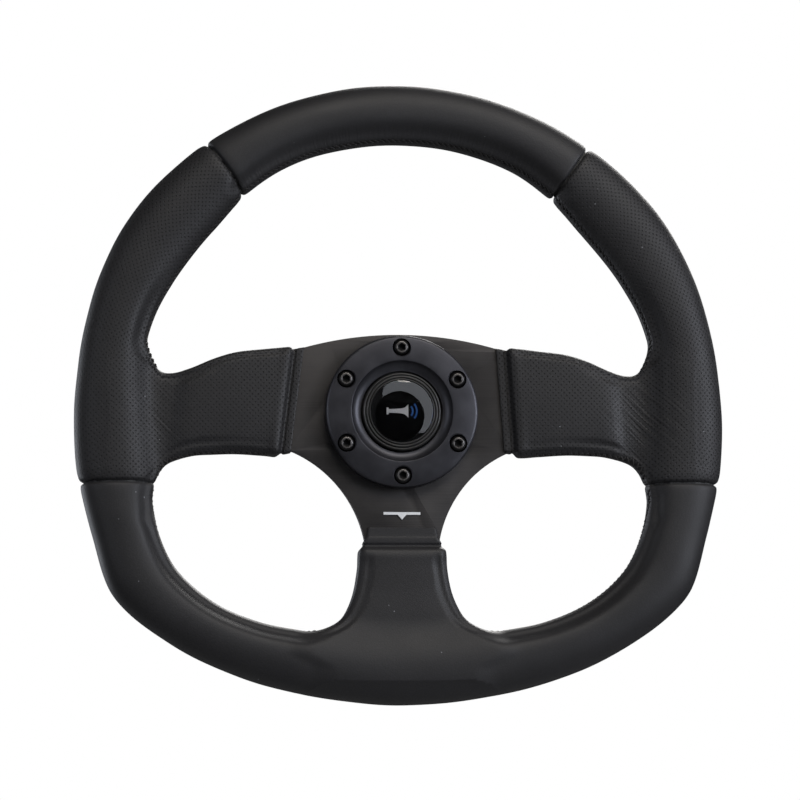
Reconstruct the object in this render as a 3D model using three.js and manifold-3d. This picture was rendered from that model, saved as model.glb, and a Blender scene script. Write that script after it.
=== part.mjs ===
// A 350 mm three-spoke motorsport steering wheel on the wheel half of a ball-lock quick release.
// Millimetres. The column axis is Y, the driver is on the -Y side, X is to the driver's right, Z is up.
// The origin is on the column axis, in the rear face of the quick release, which seats on the column.
// Positions along the column axis are given as a depth: the distance from that face towards the driver.

import * as THREE from 'three';
import { mergeVertices } from 'three/addons/utils/BufferGeometryUtils.js';
import Module from 'manifold-3d';

const manifoldModule = await Module();
manifoldModule.setup();

// ---- Driving dimensions ----

const GAP = 0.3; // between two pieces that touch
const LEATHER = 1.4;
const SKIN_STEP = LEATHER + GAP; // from the leather's outside to the foam's outside

// Rim outline: [degrees from the top, radius from the column axis], the same on both sides
const RIM_OUTSIDE = [
  [0, 181.3], [25, 181.2], [50, 181.3], [60, 180], [75, 176.9], [85, 176], [100, 177.6], [112, 179.8],
  [121, 184.6], [126, 183.3], [135, 177], [150, 167.1], [165, 160.1], [180, 158.4],
];
const RIM_INSIDE = [
  [0, 148.7], [25, 148.5], [35, 145.9], [45, 142.4], [60, 142.3], [68, 143.2], [76, 142.5], [90, 138.5],
  [103, 139], [113, 145], [121, 148.1], [126, 148.4], [135, 144.8], [146, 137.1], [157, 129.2], [180, 124],
];
const RIM_HALF_DEPTH = 15;
const RIM_ROUNDNESS = 2.2; // exponent of the rim's section: 2 is an ellipse
const TOP_SEAM_ANGLE = 35.5; // degrees from the top
const LOWER_SEAM_Z = -38.8;

// Padded side spokes: [x, z] along the upper and the lower edge, flared into the rim
const SPOKE_UPPER_EDGE = [[55, 36.4], [66, 35.5], [90, 32.5], [102, 29], [114, 23.8], [124, 20.9],
  [132, 25.2], [137, 35], [143, 39], [153, 32]];
const SPOKE_LOWER_EDGE = [[55, -23.2], [66, -24], [90, -22.4], [113, -23.5], [124, -26.6], [131, -32.6],
  [136, -43.7], [142, -48.7], [152, -38.7]];
const SPOKE_HALF_DEPTH = [[55, 6], [66, 7.5], [100, 9.5], [136, 11.5], [152, 11.5]];
const SPOKE_HEM_X = 55.4; // where the leather ends, at the middle of its slanted hem
const SPOKE_HEM_SLANT = 0.1; // the hem leans in towards the hub at its upper end
const SPOKE_END_X = 152;
const SPOKE_ROUNDNESS = 3.4;

// Padded lower spoke: [z below the hub, half width]
const LOWER_SPOKE_HALF_WIDTH = [[67.4, 20.6], [75, 23.8], [85, 24.4], [97, 26.6], [106, 30.1],
  [113, 35.3], [118, 42], [123, 51.8], [131, 55.8], [141, 39.8]];
const LOWER_SPOKE_HALF_DEPTH = [[67.4, 6], [77, 7.5], [109, 10.5], [141, 11.5]];
const LOWER_HEM_Z = 67.4;
const LOWER_SPOKE_END_Z = 141;

// Aluminium frame: hub plate, three arms and a flat hoop inside the rim
const PLATE_THICKNESS = 4.5;
const PLATE_TOP_RADIUS = 191;
const PLATE_TOP_CENTRE_Z = -148.1;
const PLATE_TOP_HALF_WIDTH = 52;
const PLATE_SCOOP_RADIUS = 66.4; // the arc between a side spoke and the lower spoke
const PLATE_SCOOP_CENTRE = [85.6, -82];
const PLATE_SCOOP_START_X = 58.2;
const PLATE_SCOOP_END_Z = -67;
const PLATE_HOLE_RADIUS = 26;
const SIDE_ARM = [[44, 34], [60, 33.6], [100, 21.5], [150, 11.5], [150, -12.5], [60, -21.3], [44, -21.3]];
const LOWER_ARM_HALF_WIDTH = 18;
const LOWER_ARM_TOP_Z = -60;
const LOWER_ARM_END_Z = -142;
const HOOP_HALF_WIDTH = 8;

// Fasteners: the six-bolt circle that aftermarket wheels and hubs share
const BOLT_COUNT = 6;
const BOLT_CIRCLE_RADIUS = 35;
const BOLT_RADIUS = 2.35;
const BOLT_HOLE_RADIUS = 2.7;
const BOLT_HEAD_RADIUS = 4.25;
const BOLT_HEAD_HEIGHT = 5;
const BOLT_LENGTH = 14;
const HEX_ACROSS_FLATS = 4;
const HEX_DEPTH = 2.6;
const COUNTERBORE_RADIUS = 4.9;
const COUNTERBORE_DEPTH = 5.7;

// Depths of the hub stack
const FLANGE_REAR = 34;
const FLANGE_FRONT = 42;
const PLATE_REAR = FLANGE_FRONT + GAP;
const PLATE_FRONT = PLATE_REAR + PLATE_THICKNESS;
const RING_REAR = PLATE_FRONT + GAP;
const RING_FRONT = RING_REAR + 8;
const RIM_DEPTH = (PLATE_REAR + PLATE_FRONT) / 2; // the rim's middle plane

// Quick release, wheel half
const FLANGE_RADIUS = 40;
const BARREL_RADIUS = 24.7;
const BORE_DEPTH = 19;
const SPLINE_ROOT_RADIUS = 18;
const SPLINE_TIP_RADIUS = 16.8;
const SPLINE_TEETH = 18;
const WIRE_POCKET_FLOOR = 24;
const WIRE_POCKET_RADIUS = 21;
const HORN_POCKET_REAR = 34.4;
const HORN_POCKET_RADIUS = 27;
const BALL_COUNT = 6;
const BALL_RADIUS = 4;
const BALL_DEPTH = 13;
const BALL_LOCKED_RADIUS = 20.8; // from the column axis to a ball's centre
const BALL_HOLE_RADIUS = 4.2;
const BALL_LIP_RADIUS = 3.65; // the staked lip that keeps a ball in its hole
const BALL_LIP_TOP = 18.7;
const COLLAR_REAR = 3.4;
const COLLAR_FRONT = 25.5;
const COLLAR_TRAVEL = 8;
const COLLAR_BORE_RADIUS = 25;
const RAMP_SLOPE = 1.4 / COLLAR_TRAVEL; // how far a ball rises for each millimetre of collar travel
const COLLAR_SHOULDER = 18;
const COLLAR_SPRING_POCKET_RADIUS = 29.6;

// Horn button
const CAP_RADIUS = 21.3;
const BADGE_RADIUS = 16.7;
const CAP_CROWN_REAR = 50;
const CAP_SEAT = 52;
const BASE_REAR = 36.3;
const BASE_FRONT = 38.3;
const CONTACT_REAR = BASE_FRONT + GAP;
const CONTACT_FRONT = CONTACT_REAR + 0.6;
const EARTH_TAB_X = -9.3;
const EARTH_SCREW_X = -14;

// Finishes: colour, roughness, metalness
const LEATHER_BLACK = [0x2f2e2d, 0.62, 0];
const FOAM_GREY = [0x4a4a48, 0.95, 0];
const ANODISED_BLACK = [0x2c2b2b, 0.45, 0.8];
const ANODISED_RING = [0x34353d, 0.38, 0.8];
const BLACK_STEEL = [0x1b1b1c, 0.35, 0.9];
const BRIGHT_STEEL = [0xb9bcc0, 0.25, 1];
const SPRING_STEEL = [0x8e9196, 0.35, 1];
const BRASS = [0xb89a55, 0.35, 1];
const BLACK_PLASTIC = [0x1d1d1f, 0.5, 0];
const GLOSS_BLACK = [0x0c0c0e, 0.08, 0];
const WHITE_PRINT = [0xe8e8e6, 0.5, 0];
const BLUE_PRINT = [0x1f66c4, 0.5, 0];
const THREAD_BLACK = [0x191919, 0.8, 0];
const RED_WIRE = [0xa52a22, 0.5, 0];
const BLACK_WIRE = [0x222222, 0.5, 0];
const NATURAL_NYLON = [0xd9d5c7, 0.55, 0];

// ---- Geometry helpers ----

const radians = THREE.MathUtils.degToRad;

// A smooth value through [position, value] pairs, level at both ends.
function smoothThrough(pairs) {
  const last = pairs.length - 1;
  const slope = (i) => (i === 0 || i === last
    ? 0
    : (pairs[i + 1][1] - pairs[i - 1][1]) / (pairs[i + 1][0] - pairs[i - 1][0]));
  return (at) => {
    let i = 0;
    while (i < last - 1 && at > pairs[i + 1][0]) {
      i += 1;
    }
    const span = pairs[i + 1][0] - pairs[i][0];
    const t = THREE.MathUtils.clamp((at - pairs[i][0]) / span, 0, 1);
    const rise = t * t * (3 - 2 * t);
    const leave = t * (1 - t) * (1 - t) * span * slope(i);
    const arrive = t * t * (t - 1) * span * slope(i + 1);
    return pairs[i][1] + rise * (pairs[i + 1][1] - pairs[i][1]) + leave + arrive;
  };
}

// Merges shared vertices, drops empty triangles and turns the faces outwards.
function closedMesh(geometry) {
  const bare = geometry.index ? geometry.toNonIndexed() : geometry.clone();
  for (const name of Object.keys(bare.attributes)) {
    if (name !== 'position') {
      bare.deleteAttribute(name);
    }
  }
  const merged = mergeVertices(bare, 1e-3);
  const position = merged.attributes.position;
  const corners = [];
  let volume = 0;
  const a = new THREE.Vector3();
  const b = new THREE.Vector3();
  const c = new THREE.Vector3();
  for (let i = 0; i < merged.index.count; i += 3) {
    const tri = [0, 1, 2].map((k) => merged.index.getX(i + k));
    if (tri[0] !== tri[1] && tri[1] !== tri[2] && tri[2] !== tri[0]) {
      corners.push(tri);
      a.fromBufferAttribute(position, tri[0]);
      b.fromBufferAttribute(position, tri[1]);
      c.fromBufferAttribute(position, tri[2]);
      volume += a.dot(b.cross(c));
    }
  }
  const index = corners.flatMap((tri) => (volume < 0 ? [tri[0], tri[2], tri[1]] : tri));
  const closed = new THREE.BufferGeometry();
  closed.setAttribute('position', position);
  closed.setIndex(index);
  return closed;
}

function solidOf(geometry) {
  const closed = closedMesh(geometry);
  const mesh = new manifoldModule.Mesh({
    numProp: 3,
    vertProperties: new Float32Array(closed.attributes.position.array),
    triVerts: new Uint32Array(closed.index.array),
  });
  return new manifoldModule.Manifold(mesh);
}

function geometryOf(solid) {
  const mesh = solid.getMesh();
  const geometry = new THREE.BufferGeometry();
  geometry.setAttribute('position', new THREE.BufferAttribute(mesh.vertProperties, 3));
  geometry.setIndex(new THREE.BufferAttribute(mesh.triVerts, 1));
  return geometry;
}

function joined(solids) {
  return solids.reduce((whole, piece) => whole.add(piece));
}

function cut(solid, tools) {
  return tools.reduce((rest, tool) => rest.subtract(tool), solid);
}

const FINE = 36; // sides of a large turned part
const PLAIN = 24; // sides of a small one

// A turned part about the column axis, from [radius, depth] pairs.
function turned(profile, segments = PLAIN) {
  const points = profile.map(([radius, depth]) => new THREE.Vector2(radius, -depth));
  return new THREE.LatheGeometry(points, segments);
}

// A turned ring, whose profile closes on itself.
function turnedRing(profile, segments = PLAIN) {
  return turned([...profile, profile[0]], segments);
}

// A flat outline in x and z, given thickness from one depth to another.
function plate(shape, rearDepth, frontDepth, curveSegments = 12) {
  const geometry = new THREE.ExtrudeGeometry(shape, {
    depth: frontDepth - rearDepth,
    bevelEnabled: false,
    curveSegments,
  });
  geometry.translate(0, 0, rearDepth);
  geometry.rotateX(Math.PI / 2);
  return geometry;
}

function outline(points) {
  return new THREE.Shape(points.map(([x, z]) => new THREE.Vector2(x, z)));
}

// A round rod along the column axis.
function rod(radius, rearDepth, frontDepth, x = 0, z = 0, segments = 12) {
  const geometry = new THREE.CylinderGeometry(radius, radius, frontDepth - rearDepth, segments);
  geometry.translate(x, -(rearDepth + frontDepth) / 2, z);
  return geometry;
}

function box(width, height, rearDepth, frontDepth, x = 0, z = 0) {
  const geometry = new THREE.BoxGeometry(width, frontDepth - rearDepth, height);
  geometry.translate(x, -(rearDepth + frontDepth) / 2, z);
  return geometry;
}

// A closed skin over equal rings of points: a loop of rings, or a row of them with a fan on each end.
function loft(rings, isLoop) {
  const around = rings[0].length;
  const points = rings.flat();
  const index = [];
  const ringCount = rings.length;
  for (let i = 0; i < (isLoop ? ringCount : ringCount - 1); i += 1) {
    const next = (i + 1) % ringCount;
    for (let j = 0; j < around; j += 1) {
      const k = (j + 1) % around;
      const near = [i * around + j, i * around + k];
      const far = [next * around + j, next * around + k];
      index.push(near[0], near[1], far[1], near[0], far[1], far[0]);
    }
  }
  if (!isLoop) {
    for (const [ring, turn] of [[0, 1], [ringCount - 1, -1]]) {
      const middle = points.length;
      points.push(rings[ring].reduce((sum, p) => sum.clone().add(p)).divideScalar(around));
      for (let j = 0; j < around; j += 1) {
        const edge = [ring * around + j, ring * around + ((j + 1) % around)];
        index.push(middle, ...(turn > 0 ? [edge[1], edge[0]] : edge));
      }
    }
  }
  const geometry = new THREE.BufferGeometry().setFromPoints(points);
  geometry.setIndex(index);
  return geometry;
}

// One point of a rounded section, as shares of its half width and half depth.
function sectionPoint(turn, roundness) {
  const share = (value) => Math.sign(value) * Math.abs(value) ** (2 / roundness);
  return [share(Math.cos(turn)), share(Math.sin(turn))];
}

// A round wire along a path.
function wire(path, radius, steps, sides = 5) {
  const section = new THREE.Shape();
  for (let i = 0; i < sides; i += 1) {
    const turn = (i / sides) * 2 * Math.PI;
    const corner = [radius * Math.cos(turn), radius * Math.sin(turn)];
    if (i === 0) {
      section.moveTo(...corner);
    } else {
      section.lineTo(...corner);
    }
  }
  return new THREE.ExtrudeGeometry(section, { steps, bevelEnabled: false, extrudePath: path });
}

// The middle line of a coil spring about the column axis.
class CoilPath extends THREE.Curve {
  constructor(radius, rearDepth, frontDepth, turns) {
    super();
    Object.assign(this, { radius, rearDepth, frontDepth, turns });
  }

  getPoint(t, target = new THREE.Vector3()) {
    const turn = t * this.turns * 2 * Math.PI;
    const depth = THREE.MathUtils.lerp(this.rearDepth, this.frontDepth, t);
    return target.set(this.radius * Math.cos(turn), -depth, this.radius * Math.sin(turn));
  }
}

function coilSpring(radius, wireRadius, rearDepth, frontDepth, turns) {
  const path = new CoilPath(radius, rearDepth + wireRadius, frontDepth - wireRadius, turns);
  return wire(path, wireRadius, Math.round(turns * 10));
}

// ---- Rim and spoke padding ----

const rimOutside = smoothThrough(RIM_OUTSIDE);
const rimInside = smoothThrough(RIM_INSIDE);
const RIM_STATIONS = 48;
const RIM_SIDES = 10;

// The rim's section at an angle from the top, positive to the right.
function rimSection(degrees) {
  const fromTop = Math.abs(THREE.MathUtils.euclideanModulo(degrees + 180, 360) - 180);
  const outside = rimOutside(fromTop);
  const inside = rimInside(fromTop);
  return { middle: (outside + inside) / 2, halfWidth: (outside - inside) / 2 };
}

function polar(degrees, radius, depth) {
  const turn = radians(degrees);
  return new THREE.Vector3(radius * Math.sin(turn), -depth, radius * Math.cos(turn));
}

function rimPadding(inset) {
  const rings = [];
  for (let i = 0; i < RIM_STATIONS; i += 1) {
    const degrees = (i / RIM_STATIONS) * 360;
    const { middle, halfWidth } = rimSection(degrees);
    const ring = [];
    for (let j = 0; j < RIM_SIDES; j += 1) {
      const [across, forward] = sectionPoint((j / RIM_SIDES) * 2 * Math.PI, RIM_ROUNDNESS);
      const radius = middle + across * (halfWidth - inset);
      ring.push(polar(degrees, radius, RIM_DEPTH + forward * (RIM_HALF_DEPTH - inset)));
    }
    rings.push(ring);
  }
  return solidOf(loft(rings, true));
}

const SPOKE_STATIONS = 10;
const SPOKE_SIDES = 12;
const spokeUpperEdge = smoothThrough(SPOKE_UPPER_EDGE);
const spokeLowerEdge = smoothThrough(SPOKE_LOWER_EDGE);
const spokeHalfDepth = smoothThrough(SPOKE_HALF_DEPTH);

function sideSpokePadding(side, inset) {
  const rings = [];
  for (let i = 0; i <= SPOKE_STATIONS; i += 1) {
    const along = i / SPOKE_STATIONS;
    const x = THREE.MathUtils.lerp(SPOKE_HEM_X, SPOKE_END_X, along);
    const middle = (spokeUpperEdge(x) + spokeLowerEdge(x)) / 2;
    const halfHeight = (spokeUpperEdge(x) - spokeLowerEdge(x)) / 2 - inset;
    const ring = [];
    for (let j = 0; j < SPOKE_SIDES; j += 1) {
      const [up, forward] = sectionPoint((j / SPOKE_SIDES) * 2 * Math.PI, SPOKE_ROUNDNESS);
      const slant = SPOKE_HEM_SLANT * up * halfHeight * (1 - along);
      const hemInset = inset * (1 - along);
      const depth = RIM_DEPTH + forward * (spokeHalfDepth(x) - inset);
      ring.push(new THREE.Vector3(side * (x + hemInset - slant), -depth, middle + up * halfHeight));
    }
    rings.push(ring);
  }
  return solidOf(loft(rings, false));
}

const lowerSpokeHalfWidth = smoothThrough(LOWER_SPOKE_HALF_WIDTH);
const lowerSpokeHalfDepth = smoothThrough(LOWER_SPOKE_HALF_DEPTH);

function lowerSpokePadding(inset) {
  const rings = [];
  for (let i = 0; i <= SPOKE_STATIONS; i += 1) {
    const along = i / SPOKE_STATIONS;
    const below = THREE.MathUtils.lerp(LOWER_HEM_Z, LOWER_SPOKE_END_Z, along);
    const ring = [];
    for (let j = 0; j < SPOKE_SIDES; j += 1) {
      const [across, forward] = sectionPoint((j / SPOKE_SIDES) * 2 * Math.PI, SPOKE_ROUNDNESS);
      const x = across * (lowerSpokeHalfWidth(below) - inset);
      const depth = RIM_DEPTH + forward * (lowerSpokeHalfDepth(below) - inset);
      ring.push(new THREE.Vector3(x, -depth, -below - inset * (1 - along)));
    }
    rings.push(ring);
  }
  return solidOf(loft(rings, false));
}

// The whole padded body, an even distance inside the leather's outer surface.
function padding(inset) {
  return joined([
    rimPadding(inset),
    sideSpokePadding(1, inset),
    sideSpokePadding(-1, inset),
    lowerSpokePadding(inset),
  ]);
}

// ---- Aluminium frame ----

function mirrored(points) {
  return points.map(([x, z]) => [-x, z]).reverse();
}

function hubPlateShape() {
  const shape = new THREE.Shape();
  const topAngle = Math.acos(PLATE_TOP_HALF_WIDTH / PLATE_TOP_RADIUS);
  const [scoopX, scoopZ] = PLATE_SCOOP_CENTRE;
  const sideAngle = Math.acos((PLATE_SCOOP_START_X - scoopX) / PLATE_SCOOP_RADIUS);
  const endAngle = Math.PI - Math.asin((PLATE_SCOOP_END_Z - scoopZ) / PLATE_SCOOP_RADIUS);
  shape.absarc(0, PLATE_TOP_CENTRE_Z, PLATE_TOP_RADIUS, topAngle, Math.PI - topAngle, false);
  shape.lineTo(-PLATE_TOP_HALF_WIDTH, SIDE_ARM[1][1]);
  shape.lineTo(-PLATE_SCOOP_START_X, SIDE_ARM[1][1]);
  shape.absarc(-scoopX, scoopZ, PLATE_SCOOP_RADIUS, Math.PI - sideAngle, Math.PI - endAngle, true);
  shape.absarc(scoopX, scoopZ, PLATE_SCOOP_RADIUS, endAngle, sideAngle, true);
  shape.lineTo(PLATE_SCOOP_START_X, SIDE_ARM[1][1]);
  shape.lineTo(PLATE_TOP_HALF_WIDTH, SIDE_ARM[1][1]);
  return shape;
}

// The three arms and the hoop that the padding hides, with clearance all round for the foam's channel.
function hiddenFrame(clearance) {
  const rear = PLATE_REAR - clearance;
  const front = PLATE_FRONT + clearance;
  const rise = SIDE_ARM.map(([x, z]) => [x, z + Math.sign(z) * clearance]);
  const half = LOWER_ARM_HALF_WIDTH + clearance;
  const lowerArm = [
    [-half, LOWER_ARM_TOP_Z], [-half, LOWER_ARM_END_Z], [half, LOWER_ARM_END_Z], [half, LOWER_ARM_TOP_Z],
  ];
  const disc = (offset, behind, ahead) => {
    const points = [];
    for (let i = 0; i < RIM_STATIONS; i += 1) {
      const degrees = (i / RIM_STATIONS) * 360;
      const point = polar(degrees, rimSection(degrees).middle + offset, 0);
      points.push([point.x, point.z]);
    }
    return solidOf(plate(outline(points), behind, ahead));
  };
  const opening = disc(-HOOP_HALF_WIDTH - clearance, rear - 1, front + 1);
  const hoop = disc(HOOP_HALF_WIDTH + clearance, rear, front).subtract(opening);
  const arms = [outline(rise), outline(mirrored(rise)), outline(lowerArm)];
  return joined([hoop, ...arms.map((shape) => solidOf(plate(shape, rear, front)))]);
}

function boltPlaces() {
  const places = [];
  for (let i = 0; i < BOLT_COUNT; i += 1) {
    places.push(polar((i / BOLT_COUNT) * 360, BOLT_CIRCLE_RADIUS, 0));
  }
  return places;
}

function boltHoles(radius, rearDepth, frontDepth) {
  return boltPlaces().map(({ x, z }) => solidOf(rod(radius, rearDepth, frontDepth, x, z)));
}

function spokeFrame() {
  const hub = solidOf(plate(hubPlateShape(), PLATE_REAR, PLATE_FRONT, 14));
  const centre = solidOf(rod(PLATE_HOLE_RADIUS, PLATE_REAR - 1, PLATE_FRONT + 1, 0, 0, FINE));
  const bolts = boltHoles(BOLT_HOLE_RADIUS, PLATE_REAR - 1, PLATE_FRONT + 1);
  return geometryOf(cut(hub.add(hiddenFrame(0)), [centre, ...bolts]));
}

// ---- Leather ----

const REACH = 260; // past the rim's outside, for the shapes that part the leather
const PANEL_GAP = 0.25; // half the gap between two panels

// Where the top seam's plane stands off by a distance, at a radius from the column axis.
function seamPoint(side, radius, standOff) {
  const turn = radians(TOP_SEAM_ANGLE);
  const x = side * (radius * Math.sin(turn) + standOff * Math.cos(turn));
  return [x, radius * Math.cos(turn) - standOff * Math.sin(turn)];
}

function panelRegion(shape) {
  return solidOf(plate(shape, -REACH, REACH));
}

function topRegion() {
  const left = [seamPoint(-1, 60, -PANEL_GAP), seamPoint(-1, REACH, -PANEL_GAP)];
  const right = [seamPoint(1, REACH, -PANEL_GAP), seamPoint(1, 60, -PANEL_GAP)];
  return panelRegion(outline([...left, [0, REACH], ...right]));
}

function gripRegion(side) {
  const low = LOWER_SEAM_Z + PANEL_GAP;
  const corners = [seamPoint(side, 60, PANEL_GAP), seamPoint(side, REACH, PANEL_GAP)];
  return panelRegion(outline([...corners, [side * REACH, low], [side * 40, low]]));
}

function lowerRegion() {
  const high = LOWER_SEAM_Z - PANEL_GAP;
  return panelRegion(outline([[-REACH, high], [-REACH, -REACH], [REACH, -REACH], [REACH, high]]));
}

// ---- Stitching along the rim's inner side ----

const THREAD_RADIUS = 0.55;
const STITCH_TURN = 30; // degrees round the section, from its innermost point towards the driver

class StitchPath extends THREE.Curve {
  constructor(fromDegrees, toDegrees) {
    super();
    Object.assign(this, { fromDegrees, toDegrees });
  }

  getPoint(t, target = new THREE.Vector3()) {
    const degrees = THREE.MathUtils.lerp(this.fromDegrees, this.toDegrees, t);
    const { middle, halfWidth } = rimSection(degrees);
    const proud = THREAD_RADIUS + 2 * GAP;
    const [inward, forward] = sectionPoint(radians(STITCH_TURN), RIM_ROUNDNESS);
    const radius = middle - inward * (halfWidth + proud);
    return target.copy(polar(degrees, radius, RIM_DEPTH + forward * (RIM_HALF_DEPTH + proud)));
  }
}

function stitching(fromDegrees, toDegrees, steps) {
  return wire(new StitchPath(fromDegrees, toDegrees), THREAD_RADIUS, steps);
}

// ---- Hub ring and its screws ----

const FUNNEL_RADIUS = 27.4;
const FUNNEL_FLOOR_RADIUS = 22.2;
const RING_RADIUS = 41.5;
const BODY_FLANGE_RADIUS = 28.9;
const BODY_FLANGE_FRONT = 48.9;

function hornRing() {
  const recess = BODY_FLANGE_FRONT + GAP;
  const recessRadius = BODY_FLANGE_RADIUS + GAP;
  const ring = solidOf(turnedRing([
    [FUNNEL_FLOOR_RADIUS, recess],
    [FUNNEL_FLOOR_RADIUS, recess + 1.7],
    [FUNNEL_RADIUS, RING_FRONT],
    [RING_RADIUS - 1.8, RING_FRONT],
    [RING_RADIUS - 0.5, RING_FRONT - 0.6],
    [RING_RADIUS, RING_FRONT - 2],
    [RING_RADIUS, RING_REAR],
    [recessRadius, RING_REAR],
    [recessRadius, recess],
  ], FINE));
  const seats = boltHoles(COUNTERBORE_RADIUS, RING_FRONT - COUNTERBORE_DEPTH, RING_FRONT + 1);
  const holes = boltHoles(BOLT_HOLE_RADIUS, RING_REAR - 1, RING_FRONT);
  return geometryOf(cut(ring, [...seats, ...holes]));
}

function ringScrew(place) {
  const seat = RING_FRONT - COUNTERBORE_DEPTH + GAP;
  const top = seat + BOLT_HEAD_HEIGHT;
  const screw = solidOf(turned([
    [0, seat - BOLT_LENGTH],
    [BOLT_RADIUS - 0.5, seat - BOLT_LENGTH],
    [BOLT_RADIUS, seat - BOLT_LENGTH + 0.5],
    [BOLT_RADIUS, seat],
    [BOLT_HEAD_RADIUS, seat],
    [BOLT_HEAD_RADIUS, top - 0.4],
    [BOLT_HEAD_RADIUS - 0.4, top],
    [0, top],
  ], 12));
  const cornerRadius = HEX_ACROSS_FLATS / Math.sqrt(3);
  const socket = solidOf(rod(cornerRadius, top - HEX_DEPTH, top + 1, 0, 0, 6));
  const geometry = geometryOf(screw.subtract(socket));
  geometry.translate(place.x, 0, place.z);
  return geometry;
}

// ---- Horn button ----

function buttonBody() {
  return turnedRing([
    [22, BODY_FLANGE_FRONT],
    [BODY_FLANGE_RADIUS, BODY_FLANGE_FRONT],
    [BODY_FLANGE_RADIUS, RING_REAR],
    [25.5, RING_REAR],
    [25.5, 34.8],
    [22.6, 34.8],
    [22.6, BASE_REAR - GAP],
    [23.5, BASE_REAR - GAP],
    [23.5, 46.8],
    [22, 46.8],
  ]);
}

function buttonCap() {
  return turned([
    [0, CAP_CROWN_REAR],
    [19.8, CAP_CROWN_REAR],
    [19.8, 44.3],
    [22.9, 44.3],
    [22.9, 46.5],
    [CAP_RADIUS, 46.5],
    [CAP_RADIUS, 52.4],
    [20.3, 52.8],
    [20, 52.3],
    [19.3, 53.1],
    [18.4, 53.1],
    [18, 52.7],
    [17.6, 53.6],
    [17.05, 53.6],
    [17.05, CAP_SEAT],
    [0, CAP_SEAT],
  ]);
}

function badgeDome() {
  const rear = CAP_SEAT + 1.8;
  return turned([
    [0, rear],
    [BADGE_RADIUS, rear],
    [BADGE_RADIUS, rear + 0.5],
    [15.6, rear + 1.1],
    [12, rear + 1.7],
    [7, rear + 2.2],
    [3, rear + 2.4],
    [0, rear + 2.45],
  ]);
}

const SYMBOL_REAR = CAP_SEAT + 1.2;
const SYMBOL_FRONT = SYMBOL_REAR + GAP;

// A plain bugle: a narrow mouthpiece on the left that opens into a bell on the right.
function hornSymbol() {
  const bell = [[3.2, 3.6], [1.2, 1.6], [-3, 1.1], [-7.4, 0.9], [-7.4, 1.9], [-8.4, 1.9]];
  const lower = bell.map(([x, z]) => [x, -z]).reverse();
  return plate(outline([...bell, ...lower]), SYMBOL_REAR, SYMBOL_FRONT);
}

// One of the two sound arcs in front of the bell.
function soundArc(radius) {
  const shape = new THREE.Shape();
  const spread = radians(38);
  shape.absarc(1.5, 0, radius + 0.9, -spread, spread, false);
  shape.absarc(1.5, 0, radius, spread, -spread, true);
  return plate(shape, SYMBOL_REAR, SYMBOL_FRONT, 8);
}

function movingContact() {
  return turned([
    [0, CONTACT_FRONT + 2.2],
    [3, CONTACT_FRONT + 2.2],
    [3, CAP_CROWN_REAR - 1.1],
    [11, CAP_CROWN_REAR - 1.1],
    [11, CAP_CROWN_REAR - GAP],
    [0, CAP_CROWN_REAR - GAP],
  ]);
}

function buttonBase() {
  const disc = solidOf(rod(23.2, BASE_REAR, BASE_FRONT, 0, 0, PLAIN));
  const rivetHole = solidOf(rod(1.8, BASE_REAR - 1, BASE_FRONT + 1));
  const tabSlot = solidOf(box(1.4, 6.9, BASE_REAR - 1, BASE_FRONT + 1, EARTH_TAB_X));
  return geometryOf(cut(disc, [rivetHole, tabSlot]));
}

function liveContact() {
  return turned([
    [0, 34.9],
    [1.5, 34.9],
    [1.5, CONTACT_REAR],
    [4.5, CONTACT_REAR],
    [4.5, CONTACT_FRONT],
    [0, CONTACT_FRONT],
  ], 12);
}

function earthContact() {
  const ring = solidOf(turnedRing([
    [7.6, CONTACT_REAR],
    [11, CONTACT_REAR],
    [11, CONTACT_FRONT],
    [7.6, CONTACT_FRONT],
  ]));
  const tab = solidOf(box(0.8, 6.3, 30.5, CONTACT_FRONT - 0.1, EARTH_TAB_X));
  return geometryOf(ring.add(tab));
}

function earthConnector() {
  const sleeve = solidOf(box(2.8, 8.2, 28.4, 35.6, EARTH_TAB_X));
  const slot = solidOf(box(1.4, 6.9, 28, 36, EARTH_TAB_X));
  const tongue = solidOf(box(1.4, 2, 28.4, 30.2, EARTH_TAB_X));
  return geometryOf(sleeve.subtract(slot).add(tongue));
}

function lead(points, steps) {
  const places = points.map(([x, z, depth]) => new THREE.Vector3(x, -depth, z));
  return wire(new THREE.CatmullRomCurve3(places), 0.8, steps);
}

// ---- Quick release ----

function splineShape() {
  const points = [];
  const pitch = (2 * Math.PI) / SPLINE_TEETH;
  const corners = [[-0.3, SPLINE_ROOT_RADIUS], [0.2, SPLINE_ROOT_RADIUS],
    [0.3, SPLINE_TIP_RADIUS], [0.6, SPLINE_TIP_RADIUS]];
  for (let i = 0; i < SPLINE_TEETH; i += 1) {
    for (const [share, radius] of corners) {
      const turn = (i + share) * pitch;
      points.push([radius * Math.cos(turn), radius * Math.sin(turn)]);
    }
  }
  return outline(points);
}

// A round cutter that points straight out from the column axis, at one ball.
function ballDrill(index, radius, from, to) {
  const geometry = new THREE.CylinderGeometry(radius, radius, to - from, 12);
  geometry.translate(0, (from + to) / 2, 0);
  geometry.rotateX(Math.PI / 2);
  geometry.translate(0, -BALL_DEPTH, 0);
  geometry.rotateY(((index + 0.5) / BALL_COUNT) * 2 * Math.PI);
  return solidOf(geometry);
}

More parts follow.
